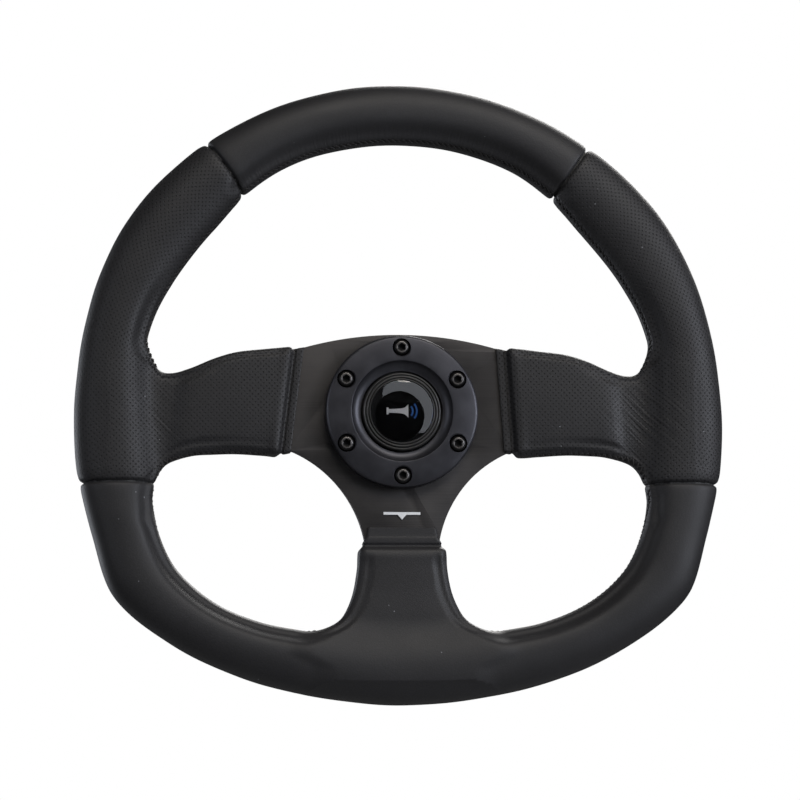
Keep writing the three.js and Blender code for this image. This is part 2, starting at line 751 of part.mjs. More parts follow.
function quickReleaseBody() {
  const blank = solidOf(turned([
    [0, 0],
    [BARREL_RADIUS - 0.5, 0],
    [BARREL_RADIUS, 0.5],
    [BARREL_RADIUS, 1.5],
    [23.6, 1.5],
    [23.6, 3],
    [BARREL_RADIUS, 3],
    [BARREL_RADIUS, FLANGE_REAR],
    [FLANGE_RADIUS - 1, FLANGE_REAR],
    [FLANGE_RADIUS, FLANGE_REAR + 1],
    [FLANGE_RADIUS, FLANGE_FRONT],
    [HORN_POCKET_RADIUS, FLANGE_FRONT],
    [HORN_POCKET_RADIUS, HORN_POCKET_REAR],
    [WIRE_POCKET_RADIUS, HORN_POCKET_REAR],
    [WIRE_POCKET_RADIUS, WIRE_POCKET_FLOOR],
    [0, WIRE_POCKET_FLOOR],
  ], FINE));
  const tools = [
    solidOf(plate(splineShape(), -1, BORE_DEPTH)),
    solidOf(rod(6, BORE_DEPTH - 1, WIRE_POCKET_FLOOR + 1)),
    solidOf(rod(1.6, 20, WIRE_POCKET_FLOOR + 1, EARTH_SCREW_X)),
    ...boltHoles(BOLT_HOLE_RADIUS, FLANGE_REAR - 1, FLANGE_FRONT + 1),
  ];
  for (let i = 0; i < BALL_COUNT; i += 1) {
    tools.push(ballDrill(i, BALL_LIP_RADIUS, 12, BARREL_RADIUS));
    tools.push(ballDrill(i, BALL_HOLE_RADIUS, BALL_LIP_TOP, BARREL_RADIUS + 2));
  }
  return geometryOf(cut(blank, tools));
}

function lockBall(index) {
  const geometry = new THREE.SphereGeometry(BALL_RADIUS, 12, 7);
  geometry.translate(0, -BALL_DEPTH, BALL_LOCKED_RADIUS);
  geometry.rotateY(((index + 0.5) / BALL_COUNT) * 2 * Math.PI);
  return geometry;
}

function releaseCollar() {
  const rampEnd = COLLAR_BORE_RADIUS + 0.05;
  const rampMouth = rampEnd + RAMP_SLOPE * (BALL_DEPTH - COLLAR_REAR);
  return turnedRing([
    [rampMouth, COLLAR_REAR],
    [rampEnd, BALL_DEPTH],
    [COLLAR_BORE_RADIUS, BALL_DEPTH + 0.3],
    [COLLAR_BORE_RADIUS, COLLAR_SHOULDER],
    [COLLAR_SPRING_POCKET_RADIUS, COLLAR_SHOULDER],
    [COLLAR_SPRING_POCKET_RADIUS, COLLAR_FRONT],
    [35.3, COLLAR_FRONT],
    [36, COLLAR_FRONT - 0.7],
    [36, 21.7],
    [35.3, 21],
    [32.6, 20.2],
    [31.5, 18.6],
    [31.5, 8.4],
    [32.5, 7],
    [32.5, 4.6],
    [31.3, COLLAR_REAR],
  ], FINE);
}

function stopRing() {
  const shape = new THREE.Shape();
  const split = radians(9);
  shape.absarc(0, 0, 27.2, split, 2 * Math.PI - split, false);
  shape.absarc(0, 0, 23.9, 2 * Math.PI - split, split, true);
  return plate(shape, 1.6, 2.9, 18);
}

function contactCarrier() {
  return turnedRing([
    [2.1, 17.5],
    [5.7, 17.5],
    [5.7, WIRE_POCKET_FLOOR + GAP],
    [9, WIRE_POCKET_FLOOR + GAP],
    [9, 26.3],
    [1.6, 26.3],
    [1.6, 25],
    [3.6, 25],
    [3.6, 18.9],
    [2.1, 18.9],
  ], 18);
}

function contactPlunger() {
  return turned([
    [0, 13.5],
    [1.2, 13.5],
    [1.8, 14.1],
    [1.8, 19.2],
    [3.2, 19.2],
    [3.2, 20.4],
    [1.3, 20.4],
    [1.3, 28],
    [0, 28],
  ], 12);
}

function earthEyelet() {
  const ring = solidOf(turnedRing([[1.7, 24.3], [3.4, 24.3], [3.4, 25.1], [1.7, 25.1]], 12));
  const tail = solidOf(box(2.2, 4, 24.3, 25.1, 0, 4.8));
  const eyelet = geometryOf(ring.add(tail));
  eyelet.translate(EARTH_SCREW_X, 0, 0);
  return eyelet;
}

function earthScrew() {
  const screw = solidOf(turned([[0, 20.5], [1.35, 20.5], [1.35, 25.4], [2.8, 25.4], [2.8, 27], [2.2, 27.5],
    [0, 27.5]], 12));
  const cross = solidOf(box(3.4, 0.7, 26.4, 28)).add(solidOf(box(0.7, 3.4, 26.4, 28)));
  const geometry = geometryOf(screw.subtract(cross));
  geometry.translate(EARTH_SCREW_X, 0, 0);
  return geometry;
}

// A plain white straight-ahead mark on the lower spoke.
function centreMark() {
  const top = -54.2;
  const low = top - 1.4;
  const mark = [[-10, low], [-2.4, low], [0, low - 2.6], [2.4, low], [10, low], [10, top], [-10, top]];
  return plate(outline(mark), PLATE_FRONT + GAP, PLATE_FRONT + 2 * GAP);
}

// ---- Assembly ----

const steeringWheel = new THREE.Group();

function addPart(name, geometry, [color, roughness, metalness]) {
  const material = new THREE.MeshStandardMaterial({ color, roughness, metalness });
  const mesh = new THREE.Mesh(closedMesh(geometry), material);
  mesh.name = name;
  steeringWheel.add(mesh);
}

addPart('spoke_frame', spokeFrame(), ANODISED_BLACK);

const channel = hiddenFrame(GAP);
addPart('rim_foam', geometryOf(padding(SKIN_STEP).subtract(channel)), FOAM_GREY);

const skin = cut(padding(0), [padding(LEATHER), channel]);
addPart('leather_top', geometryOf(skin.intersect(topRegion())), LEATHER_BLACK);
addPart('leather_left', geometryOf(skin.intersect(gripRegion(-1))), LEATHER_BLACK);
addPart('leather_right', geometryOf(skin.intersect(gripRegion(1))), LEATHER_BLACK);
addPart('leather_bottom', geometryOf(skin.intersect(lowerRegion())), LEATHER_BLACK);

addPart('stitching_top', stitching(-34.5, 34.5, 20), THREAD_BLACK);
addPart('stitching_left', stitching(-70, -36.5, 10), THREAD_BLACK);
addPart('stitching_right', stitching(36.5, 70, 10), THREAD_BLACK);
addPart('stitching_lower_left', stitching(-150, -110, 14), THREAD_BLACK);
addPart('stitching_lower_right', stitching(110, 150, 14), THREAD_BLACK);

addPart('horn_ring', hornRing(), ANODISED_RING);
boltPlaces().forEach((place, i) => addPart(`ring_screw_${i + 1}`, ringScrew(place), BLACK_STEEL));
addPart('centre_mark', centreMark(), WHITE_PRINT);

addPart('horn_button_body', buttonBody(), BLACK_PLASTIC);
addPart('horn_button_base', buttonBase(), NATURAL_NYLON);
addPart('horn_button_cap', buttonCap(), BLACK_PLASTIC);
addPart('badge_disc', rod(BADGE_RADIUS, CAP_SEAT + GAP, CAP_SEAT + 3 * GAP, 0, 0, PLAIN), BLACK_PLASTIC);
addPart('badge_dome', badgeDome(), GLOSS_BLACK);
addPart('horn_symbol', hornSymbol(), WHITE_PRINT);
addPart('sound_arc_inner', soundArc(3.6), BLUE_PRINT);
addPart('sound_arc_outer', soundArc(5.8), BLUE_PRINT);
addPart('horn_moving_contact', movingContact(), BRASS);
addPart('horn_live_contact', liveContact(), BRASS);
addPart('horn_earth_contact', earthContact(), BRASS);
const hornSpring = coilSpring(9.2, 0.45, CONTACT_FRONT + GAP, CAP_CROWN_REAR - 1.4, 4.5);
addPart('horn_return_spring', hornSpring, SPRING_STEEL);

addPart('earth_connector', earthConnector(), BRASS);
const liveRoute = [[0.2, 0, 33.9], [2.5, 0.6, 33.4], [9, 2.5, 33], [14.5, 5, 31], [12, 8, 28.8],
  [5, 5.5, 29.2], [1, 1, 29.2]];
addPart('live_lead', lead(liveRoute, 26), RED_WIRE);
const earthRoute = [[-9.3, 0.5, 27.4], [-9.6, 3, 26.9], [-11.2, 6, 26.6], [-13, 7.6, 26.3]];
addPart('earth_lead', lead(earthRoute, 12), BLACK_WIRE);
addPart('earth_eyelet', earthEyelet(), BRASS);
addPart('earth_screw', earthScrew(), BRIGHT_STEEL);

addPart('quick_release_body', quickReleaseBody(), ANODISED_BLACK);
addPart('release_collar', releaseCollar(), ANODISED_RING);
const collarSpring = coilSpring(27.3, 0.8, COLLAR_SHOULDER + GAP, FLANGE_REAR - GAP, 4);
addPart('collar_spring', collarSpring, SPRING_STEEL);
addPart('collar_stop_ring', stopRing(), BLACK_STEEL);
for (let i = 0; i < BALL_COUNT; i += 1) {
  addPart(`lock_ball_${i + 1}`, lockBall(i), BRIGHT_STEEL);
}
addPart('contact_carrier', contactCarrier(), NATURAL_NYLON);
addPart('contact_plunger', contactPlunger(), BRASS);
addPart('plunger_spring', coilSpring(2.45, 0.25, 20.7, 24.7, 3), SPRING_STEEL);

export default steeringWheel;
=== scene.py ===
"""The looks of a quick release steering wheel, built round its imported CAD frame.

Metres, in the CAD frame: X to the driver's right, Z up, the driver on the -Y side. Shapes are worked out
in millimetres and scaled by MM. "depth" is the distance from the column seat towards the driver, so it
is -Y. Lengths are in millimetres unless a name says otherwise, and a "place" is an (x, z) pair.

The leather is the zero surface of one distance field (leather_field), in which the rim and the pads over
the spokes blend. It is meshed once (net_over, evened) and then cut into its four panels at the seams.
"""

import math
from contextlib import contextmanager

import bmesh
import bpy
import numpy as np
from mathutils import Matrix, Vector


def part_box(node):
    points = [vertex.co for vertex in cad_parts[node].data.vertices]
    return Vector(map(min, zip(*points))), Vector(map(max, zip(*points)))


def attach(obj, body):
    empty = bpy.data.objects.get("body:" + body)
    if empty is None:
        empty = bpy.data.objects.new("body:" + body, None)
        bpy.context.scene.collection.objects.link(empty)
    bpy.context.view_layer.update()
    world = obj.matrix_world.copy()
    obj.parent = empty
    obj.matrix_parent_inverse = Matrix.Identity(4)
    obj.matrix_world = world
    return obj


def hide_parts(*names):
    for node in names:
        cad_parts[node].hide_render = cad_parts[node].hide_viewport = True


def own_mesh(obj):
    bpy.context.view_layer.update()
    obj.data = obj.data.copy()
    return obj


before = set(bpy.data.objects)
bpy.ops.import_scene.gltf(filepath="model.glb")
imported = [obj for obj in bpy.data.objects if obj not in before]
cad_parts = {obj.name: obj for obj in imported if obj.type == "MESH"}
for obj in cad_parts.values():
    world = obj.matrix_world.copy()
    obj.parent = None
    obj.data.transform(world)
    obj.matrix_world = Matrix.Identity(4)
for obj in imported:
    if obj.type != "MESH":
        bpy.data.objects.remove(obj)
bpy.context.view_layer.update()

MM = 0.001

# ---------------------------------------------------------------- driving dimensions, in mm

PLATE_REAR = -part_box("spoke_frame")[1].y / MM
PLATE_FRONT = -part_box("spoke_frame")[0].y / MM
RIM_DEPTH = (PLATE_REAR + PLATE_FRONT) / 2
RING_FRONT = -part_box("horn_ring")[0].y / MM
RING_REAR = -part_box("horn_ring")[1].y / MM

# Rim outline: (degrees from the top, radius), the same on both sides
RIM_OUTSIDE = [(0, 181.3), (25, 181.2), (50, 181.3), (60, 180), (75, 176.9), (85, 176), (100, 177.6),
               (112, 179.8), (121, 184.6), (126, 183.3), (135, 177), (150, 167.1), (165, 160.1),
               (180, 158.4)]
RIM_INSIDE = [(0, 148.7), (25, 148.5), (35, 145.9), (45, 142.4), (60, 142.3), (68, 143.2), (76, 142.5),
              (90, 138.5), (103, 139), (113, 145), (121, 148.1), (126, 148.4), (135, 144.8), (146, 137.1),
              (157, 129.2), (180, 124)]
RIM_HALF_DEPTH = 15
RIM_ROUNDNESS = 2.15  # 2 would be an ellipse, and more is squarer
RIM_MEAN_RADIUS = 157
SECTION_RADIUS = 17
HOOP_HALF_WIDTH = 8

# Side spoke pads: (x, z) along the edges, and sizes by distance from the hem
SPOKE_UPPER_EDGE = [(50, 37), (57, 36), (66, 35.2), (75, 34.2), (90, 32.3), (102, 28.8), (114, 23.8),
                    (124, 21.1), (131, 22.6), (137, 30), (143, 34), (153, 30)]
SPOKE_LOWER_EDGE = [(50, -22), (57, -22.4), (66, -23.8), (75, -23.2), (90, -22.2), (102, -22.5),
                    (113, -23.4), (124, -26.8), (131, -31.4), (136, -39), (142, -43), (152, -37)]
HEM_MIDDLE_X = 55.4
HEM_MIDDLE_Z = 6.2
HEM_SLANT = 0.1
HEM_UNEVENNESS = 1.0  # how much nearer the hub the right hem lies, and the left one further
HEM_TWIST = 0.032
PAD_HALF_DEPTH = [(-9, 3.5), (0, 3.55), (0.7, 3.9), (3.4, 3.9), (4.2, 3.5), (5.2, 3.45), (5.9, 4.6),
                  (6.9, 6.7), (8.2, 7.8), (11, 8.5), (30, 9.1), (52, 9.1), (60, 8.5), (67, 6.9), (76, 6.4),
                  (95, 6.4)]
PAD_EDGE_INSET = [(-9, 1.2), (0, 1.1), (3.6, 1.1), (4.8, 1.7), (7.5, 0.2), (9, 0), (95, 0)]
PAD_CORNER = [(-9, 1.5), (4.5, 1.5), (8, 3.6), (12, 4.4), (95, 4.6)]
SPOKE_END_X = 150
SPOKE_BAND = 45  # the side spokes lie within this height of the column axis

# Lower spoke pad: (distance below the column axis, half width)
LOWER_SPOKE_HALF_WIDTH = [(60, 20), (67.4, 20.6), (72, 22.9), (77, 23.8), (85, 24.2), (97, 26.3),
                          (106, 29.6), (113, 34), (118, 40), (123, 48.5), (131, 53), (141, 40)]
LOWER_HEM_Z = 67.4
LOWER_PAD_HALF_DEPTH = [(-9, 3.5), (0, 3.55), (0.7, 3.9), (3.6, 3.9), (4.4, 3.5), (5.4, 3.45), (6.1, 4.6),
                        (7.1, 6.7), (8.6, 7.9), (12, 8.7), (30, 9.3), (44, 10.0), (56, 10.2), (75, 9.5)]
LOWER_SPOKE_END_Z = 140

# Where the pieces of leather meet, and how deep they tuck in
TOP_SEAM = math.radians(35.5)
LOWER_SEAM_Z = -38.8
TUCK_DEPTH = 1.7
PANEL_GAP = 0.3
LEATHER = 1.05
HOLE_PITCH = 3.0

# The closing seam along the openings, and the valley that it pulls in the leather
VALLEY_REACH = 5.2  # from an opening's edge to the middle of the valley
VALLEY_WIDTH = 2.9
VALLEY_DEPTH = 1.9
STITCH_PITCH = 3.1
STITCH_HALF_WIDTH = 1.75
THREAD_RADIUS = 0.36

# Hub
BOLT_COUNT = 6
BOLT_CIRCLE = 35
SCREW_HOLE = 2.7
BALL_COUNT = 6
BALL_DEPTH = 13
BALL_CIRCLE = 20.8
BALL_RADIUS = 4
COLLAR_SHOULDER = 18
FLANGE_REAR = 34

# Travels of the joints
COLLAR_TRAVEL = 8.0
BALL_LIFT = 1.4


# ---------------------------------------------------------------- numbers

def smooth_through(pairs, at):
    """A smooth value through (position, value) pairs, level at both ends, at an array of positions."""
    places, values = np.array(pairs, float).T
    slopes = np.zeros(len(places))
    slopes[1:-1] = (values[2:] - values[:-2]) / (places[2:] - places[:-2])
    i = np.clip(np.searchsorted(places, at) - 1, 0, len(places) - 2)
    span = places[i + 1] - places[i]
    t = np.clip((at - places[i]) / span, 0, 1)
    rise = t * t * (3 - 2 * t)
    leave = t * (1 - t) ** 2 * span * slopes[i]
    arrive = t * t * (t - 1) * span * slopes[i + 1]
    return values[i] + rise * (values[i + 1] - values[i]) + leave + arrive


def bell(distance, width):
    """1 on a line, falling smoothly to 0 a couple of widths away."""
    return np.exp(-(distance / width) ** 2)


def smooth_step(low, high, at):
    """0 up to low, 1 from high on, and eased between them."""
    t = np.clip((at - low) / (high - low), 0, 1)
    return t * t * (3 - 2 * t)


def smooth_union(a, b, width):
    """The union of two fields, filleted over a width."""
    overlap = np.maximum(width - np.abs(a - b), 0) / width
    return np.minimum(a, b) - overlap * overlap * width / 4


# ---------------------------------------------------------------- the padded body as a distance field

def top_seam_offset(x, z):
    """How far a point is below the nearer top seam, in mm. Negative is on the top panel."""
    return np.abs(x) * math.cos(TOP_SEAM) - z * math.sin(TOP_SEAM)


def away_from_roots(x, z):
    """1 along the free lengths of the rim, falling to 0 where a spoke joins it."""
    from_side = smooth_step(24, 40, np.abs(z - 4))
    from_lower = np.where(z > 0, 1, smooth_step(42, 64, np.abs(x)))
    return from_side * from_lower


def stitch_depth(z):
    """The closing seam's depth: in front of the rim's middle round the top, and behind it at the bottom."""
    return RIM_DEPTH - 3 + 6.5 * smooth_step(-75, -42, z) + 1.2 * smooth_step(20, 110, z)


def rim_middle(x, z):
    """The rim's middle radius at a point, and how far outside it the point lies."""
    degrees = np.degrees(np.arctan2(np.abs(x), z))
    middle = (smooth_through(RIM_OUTSIDE, degrees) + smooth_through(RIM_INSIDE, degrees)) / 2
    return middle, np.hypot(x, z) - middle


def rim_field(x, depth, z):
    """The wrapped rim: a squared ellipse in section, tucked in at the seams between the panels."""
    radius = np.hypot(x, z)
    degrees = np.degrees(np.arctan2(np.abs(x), z))
    outside = smooth_through(RIM_OUTSIDE, degrees)
    inside = smooth_through(RIM_INSIDE, degrees)
    half = (outside - inside) / 2
    out = radius - (outside + inside) / 2
    forward = depth - RIM_DEPTH
    power = RIM_ROUNDNESS
    size = (np.abs(out / half) ** power + np.abs(forward / RIM_HALF_DEPTH) ** power) ** (1 / power)
    hair = 0.001  # keeps the middle of the section from dividing by nothing
    field = (np.hypot(out, forward) + hair) * (1 - 1 / (size + hair / RIM_HALF_DEPTH))
    below_top = top_seam_offset(x, z)
    above_lower = z - LOWER_SEAM_Z
    from_seam = np.minimum(np.abs(below_top), np.abs(above_lower))
    grip = smooth_step(0, 7, below_top) * smooth_step(0, 7, above_lower)
    tuck = bell(from_seam, 1.0)
    shoulder = bell(from_seam, 2.8)
    groove = 0.8 * bell(depth - stitch_depth(z), 1.1) * smooth_step(0, -8, out) * away_from_roots(x, z)
    return field - 0.3 * grip + TUCK_DEPTH * tuck + 0.5 * shoulder + groove


def pad_field(beyond_edge, from_hem, depth, half_depths, doming):
    """A stuffed pad: a rounded box in section, whose sizes follow the distance from its hem."""
    corner = smooth_through(PAD_CORNER, from_hem)
    edge = beyond_edge + smooth_through(PAD_EDGE_INSET, from_hem)
    face = np.abs(depth - RIM_DEPTH) - smooth_through(half_depths, from_hem) + doming
    over_edge = np.maximum(edge + corner, 0)
    over_face = np.maximum(face + corner, 0)
    inside = np.minimum(np.maximum(edge, face) + corner, 0)
    field = np.hypot(over_edge, over_face) + inside - corner
    return field, np.hypot(edge + 0.29 * corner, face + 0.29 * corner)


def from_side_hem(x, z):
    """Distance outwards from a side spoke's slanted hem. Both are folded by hand, so they differ."""
    side = np.sign(x)
    lean = HEM_SLANT - side * HEM_TWIST
    return np.abs(x) - HEM_MIDDLE_X + side * HEM_UNEVENNESS + lean * (z - HEM_MIDDLE_Z)


def side_pad_field(x, depth, z):
    """The pad over a side spoke, with a closing seam along its lower edge and piping along the upper."""
    from_hem = from_side_hem(x, z)
    x = np.abs(x)
    upper = smooth_through(SPOKE_UPPER_EDGE, x)
    lower = smooth_through(SPOKE_LOWER_EDGE, x)
    height = (2 * z - upper - lower) / (upper - lower)
    pad = smooth_step(6, 14, from_hem)
    doming = 1.1 * pad * np.clip(height, -1, 1) ** 2
    beyond_edge = np.maximum(z - upper, lower - z)
    field, from_corner = pad_field(beyond_edge, from_hem, depth, PAD_HALF_DEPTH, doming)
    facing = depth > RIM_DEPTH
    closing_seam = 0.7 * pad * facing * (z < HEM_MIDDLE_Z) * bell(from_corner, 1.4)
    piping = 0.75 * pad * facing * bell(z - upper + 3.3, 1.0)
    return np.maximum(field, np.maximum(x - SPOKE_END_X, -5 - from_hem)) + closing_seam + piping


def lower_pad_field(x, depth, z):
    """The pad over the lower spoke, with a closing seam along both edges."""
    below = -z
    half_width = smooth_through(LOWER_SPOKE_HALF_WIDTH, below)
    from_hem = below - LOWER_HEM_Z
    pad = smooth_step(6, 14, from_hem) * smooth_step(56, 40, from_hem)
    doming = 0.7 * pad * np.clip(x / half_width, -1, 1) ** 2
    field, from_corner = pad_field(np.abs(x) - half_width, from_hem, depth, LOWER_PAD_HALF_DEPTH, doming)
    closing_seam = 0.5 * pad * (depth > RIM_DEPTH) * bell(from_corner, 1.4)
    return np.maximum(field, np.maximum(below - LOWER_SPOKE_END_Z, -5 - from_hem)) + closing_seam


def padded_body(x, depth, z):
    """The rim and the three pads as one body, before the seams pull on it."""
    side = smooth_union(rim_field(x, depth, z), side_pad_field(x, depth, z), 12)
    return smooth_union(side, lower_pad_field(x, depth, z), 14)


OUTLINE_REACH = 190
WHOLE_MM = np.arange(-OUTLINE_REACH, OUTLINE_REACH + 1.0)
INSIDE_OUTLINE = -padded_body(WHOLE_MM[:, None], RIM_DEPTH, WHOLE_MM[None, :])


def inside_outline(x, z):
    """How far inside the leather's outline a point is, read between the values at each whole mm."""
    x, z = np.broadcast_arrays(x, z)
    right = np.clip(x + OUTLINE_REACH, 0, 2 * OUTLINE_REACH - 1)
    up = np.clip(z + OUTLINE_REACH, 0, 2 * OUTLINE_REACH - 1)
    i, k = right.astype(int), up.astype(int)
    right, up = right - i, up - k
    low = INSIDE_OUTLINE[i, k] * (1 - right) + INSIDE_OUTLINE[i + 1, k] * right
    high = INSIDE_OUTLINE[i, k + 1] * (1 - right) + INSIDE_OUTLINE[i + 1, k + 1] * right
    return low * (1 - up) + high * up


def seam_valley(x, depth, z):
    """The closing seam pulls in a band of the front, just inside the edges of the three openings."""
    out = np.abs(x)
    upper = smooth_step(94, 118, out)
    lower = 0.25 + 0.75 * smooth_step(82, 116, out)
    on_side_spoke = np.where(z > HEM_MIDDLE_Z, upper, lower) * smooth_step(8, 16, from_side_hem(x, z))
    on_lower_spoke = 0.7 * np.where(out < 50, smooth_step(8, 18, -z - LOWER_HEM_Z), 1)
    below = on_lower_spoke + 0.3 * smooth_step(30, 65, out)
    on_grip = smooth_step(0, 9, top_seam_offset(x, z)) * smooth_step(45, 85, z)
    above = 1 - on_grip
    share = np.where(np.abs(z) < SPOKE_BAND, on_side_spoke, np.where(z < 0, below, above))
    higher = smooth_step(20, 110, z)
    band = bell(inside_outline(x, z) - VALLEY_REACH - 0.6 * higher, VALLEY_WIDTH + 0.4 * higher)
    band = band * smooth_step(3, -3, rim_middle(x, z)[1])
    return VALLEY_DEPTH * share * band * smooth_step(0, 6, depth - RIM_DEPTH)


def leather_field(x, depth, z):
    """Distance outside the leather's outer surface, in mm. Negative is inside."""
    stuffing = 0.13 * np.sin(x / 8.1 + z / 13) * np.sin(z / 9.3 - x / 21) * np.cos(depth / 7)
    return padded_body(x, depth, z) + seam_valley(x, depth, z) + stuffing


def foam_field(x, depth, z):
    """The foam under the leather, with the channel that the frame's arms and hoop lie in."""
    clearance = 0.3
    hoop = np.abs(rim_middle(x, z)[1]) - HOOP_HALF_WIDTH - clearance
    side_arm = np.maximum(np.abs(x) - 150, np.abs(z + 1) - 34.5 + np.clip(np.abs(x) - 60, 0, 90) / 4)
    lower_arm = np.maximum(np.abs(x) - 18 - clearance, z)
    arms = np.minimum(side_arm, lower_arm)
    half_plate = (PLATE_FRONT - PLATE_REAR) / 2 + clearance
    channel = np.maximum(np.abs(depth - RIM_DEPTH) - half_plate, np.minimum(hoop, arms))
    behind_side_hem = 7 - from_side_hem(x, z)
    behind_hem = np.where(z > -60, behind_side_hem, 7 + z + LOWER_HEM_Z)
    return np.maximum(leather_field(x, depth, z) + LEATHER + 0.2, np.maximum(-channel, behind_hem))


def gradient(field, points, step=0.06):
    """The slope of a field at each point, taken over a small step either way."""
    slopes = []
    for axis in range(3):
        shift = np.zeros(3)
        shift[axis] = step
        ahead = field(*(points + shift).T)
        behind = field(*(points - shift).T)
        slopes.append((ahead - behind) / (2 * step))
    return np.stack(slopes, 1)


def onto_surface(field, points, rounds=3):
    """The points moved along the field's slope until they lie on its surface."""
    for _ in range(rounds):
        slope = gradient(field, points)
        steepness = np.maximum((slope ** 2).sum(1), 0.05)
        points = points - slope * np.clip(field(*points.T) / steepness, -1.5, 1.5)[:, None]
    return points


def unit(vectors):
    """The vectors at length 1."""
    return vectors / np.maximum(np.linalg.norm(vectors, axis=1), 1e-9)[:, None]


def net_over(field, low, high, step):
    """Even quads over the surface where a field is zero: one point in each grid cell that it crosses."""
    axes = [np.arange(low[i], high[i] + step, step) for i in range(3)]
    values = field(*np.meshgrid(*axes, indexing="ij", sparse=True))
    values = np.broadcast_to(values, [len(axis) for axis in axes])
    inside = values < 0
    shape = np.array(inside.shape)
    cells, places, quads = [], [], []
    for axis in range(3):
        here = [slice(None)] * 3
        ahead = [slice(None)] * 3
        here[axis] = slice(None, -1)
        ahead[axis] = slice(1, None)
        index = np.argwhere(inside[tuple(here)] != inside[tuple(ahead)])
        near = values[tuple(index.T)]
        far_index = index.copy()
        far_index[:, axis] += 1
        far = values[tuple(far_index.T)]
        place = index.astype(float)
        place[:, axis] += near / (near - far)
        side, up = [other for other in range(3) if other != axis]
        around = []
        for offset_side, offset_up in ((0, 0), (1, 0), (1, 1), (0, 1)):
            cell = index.copy()
            cell[:, side] -= offset_side
            cell[:, up] -= offset_up
            around.append(np.ravel_multi_index(cell.T, shape))
        cells += around
        places += [place] * 4
        quad = np.stack(around, 1)
        flip = (near < 0) != (axis == 1)
        quad[flip] = quad[flip][:, ::-1]
        quads.append(quad)
    used, vertex = np.unique(np.concatenate(cells), return_inverse=True)
    count = np.bincount(vertex)
    place = np.concatenate(places)
    mean = np.stack([np.bincount(vertex, place[:, axis]) / count for axis in range(3)], 1)
    faces = np.searchsorted(used, np.concatenate(quads))
    return np.array(low) + mean * step, faces


def evened(field, points, faces, rounds=3):
    """The net's points slid along the surface until they are evenly spaced."""
    edges = np.concatenate([faces[:, [0, 1]], faces[:, [1, 2]], faces[:, [2, 3]], faces[:, [3, 0]]])
    ends = np.concatenate([edges, edges[:, ::-1]])
    count = np.bincount(ends[:, 0], minlength=len(points))
    for _ in range(rounds):
        points = onto_surface(field, points, 1)
        sums = [np.bincount(ends[:, 0], points[ends[:, 1], axis], len(points)) for axis in range(3)]
        drift = np.stack(sums, 1) / count[:, None] - points
        normal = unit(gradient(field, points))
        points = points + 0.6 * (drift - normal * (drift * normal).sum(1)[:, None])
    return onto_surface(field, points)


# ---------------------------------------------------------------- meshes

def to_metres(points):
    """(x, depth, z) in mm to the frame's metres."""
    points = np.asarray(points, float)
    return np.stack([points[:, 0], -points[:, 1], points[:, 2]], 1) * MM


def put(mesh, name, material):
    """A new object for a mesh, in the scene."""
    mesh.name = name
    piece = bpy.data.objects.new(name, mesh)
    bpy.context.scene.collection.objects.link(piece)
    if material is not None:
        mesh.materials.append(material)
    return piece


def mesh_of(points, faces):
    """A mesh from (x, depth, z) points in mm."""
    mesh = bpy.data.meshes.new("shape")
    mesh.from_pydata(to_metres(points).tolist(), [], [list(map(int, face)) for face in faces])
    return mesh


@contextmanager
def opened(piece):
    """The piece's mesh as a bmesh, which is written back at the end."""
    shape = bmesh.new()
    shape.from_mesh(piece.data)
    yield shape
    shape.to_mesh(piece.data)
    shape.free()


def face_outwards(piece):
    """Merges doubled points and turns every face outwards."""
    with opened(piece) as shape:
        bmesh.ops.remove_doubles(shape, verts=shape.verts, dist=1e-7)
        bmesh.ops.recalc_face_normals(shape, faces=shape.faces)


def smooth_but(piece, sharp_degrees=32):
    """Smooth shading, except across edges sharper than an angle."""
    limit = math.radians(sharp_degrees)
    with opened(piece) as shape:
        for edge in shape.edges:
            edge.smooth = len(edge.link_faces) == 2 and edge.calc_face_angle(0) < limit
        for face in shape.faces:
            face.smooth = True


def frozen(piece):
    """The piece with its modifiers applied."""
    graph = bpy.context.evaluated_depsgraph_get()
    mesh = bpy.data.meshes.new_from_object(piece.evaluated_get(graph))
    piece.modifiers.clear()
    piece.data = mesh
    return piece


def carved(piece, tools, operation="DIFFERENCE"):
    """The piece with every tool cut away, or joined on. The tools are used up."""
    for tool in tools:
        cut = piece.modifiers.new("carve", "BOOLEAN")
        cut.operation = operation
        cut.solver = "EXACT"
        cut.object = tool
    frozen(piece)
    for tool in tools:
        bpy.data.objects.remove(tool)
    return piece


def edges_rounded(piece, width, segments):
    """The piece with its sharp edges rounded over."""
    bevel = piece.modifiers.new("edges", "BEVEL")
    bevel.width = width * MM
    bevel.segments = segments
    bevel.limit_method = "ANGLE"
    bevel.angle_limit = math.radians(40)
    bevel.use_clamp_overlap = True
    return frozen(piece)


def filleted(points, radius=0.3, steps=3, closed=False):
    """The same outline with each corner turned into a small curve."""
    result = []
    last = len(points) - 1
    for i, corner in enumerate(points):
        if not closed and i in (0, last):
            result.append(tuple(corner))
            continue
        here = np.array(corner, float)
        back = np.array(points[i - 1], float) - here
        on = np.array(points[(i + 1) % len(points)], float) - here
        start = here + back * min(radius / np.linalg.norm(back), 0.45)
        end = here + on * min(radius / np.linalg.norm(on), 0.45)
        for k in range(steps + 1):
            t = k / steps
            result.append(tuple((1 - t) ** 2 * start + 2 * t * (1 - t) * here + t * t * end))
    return result


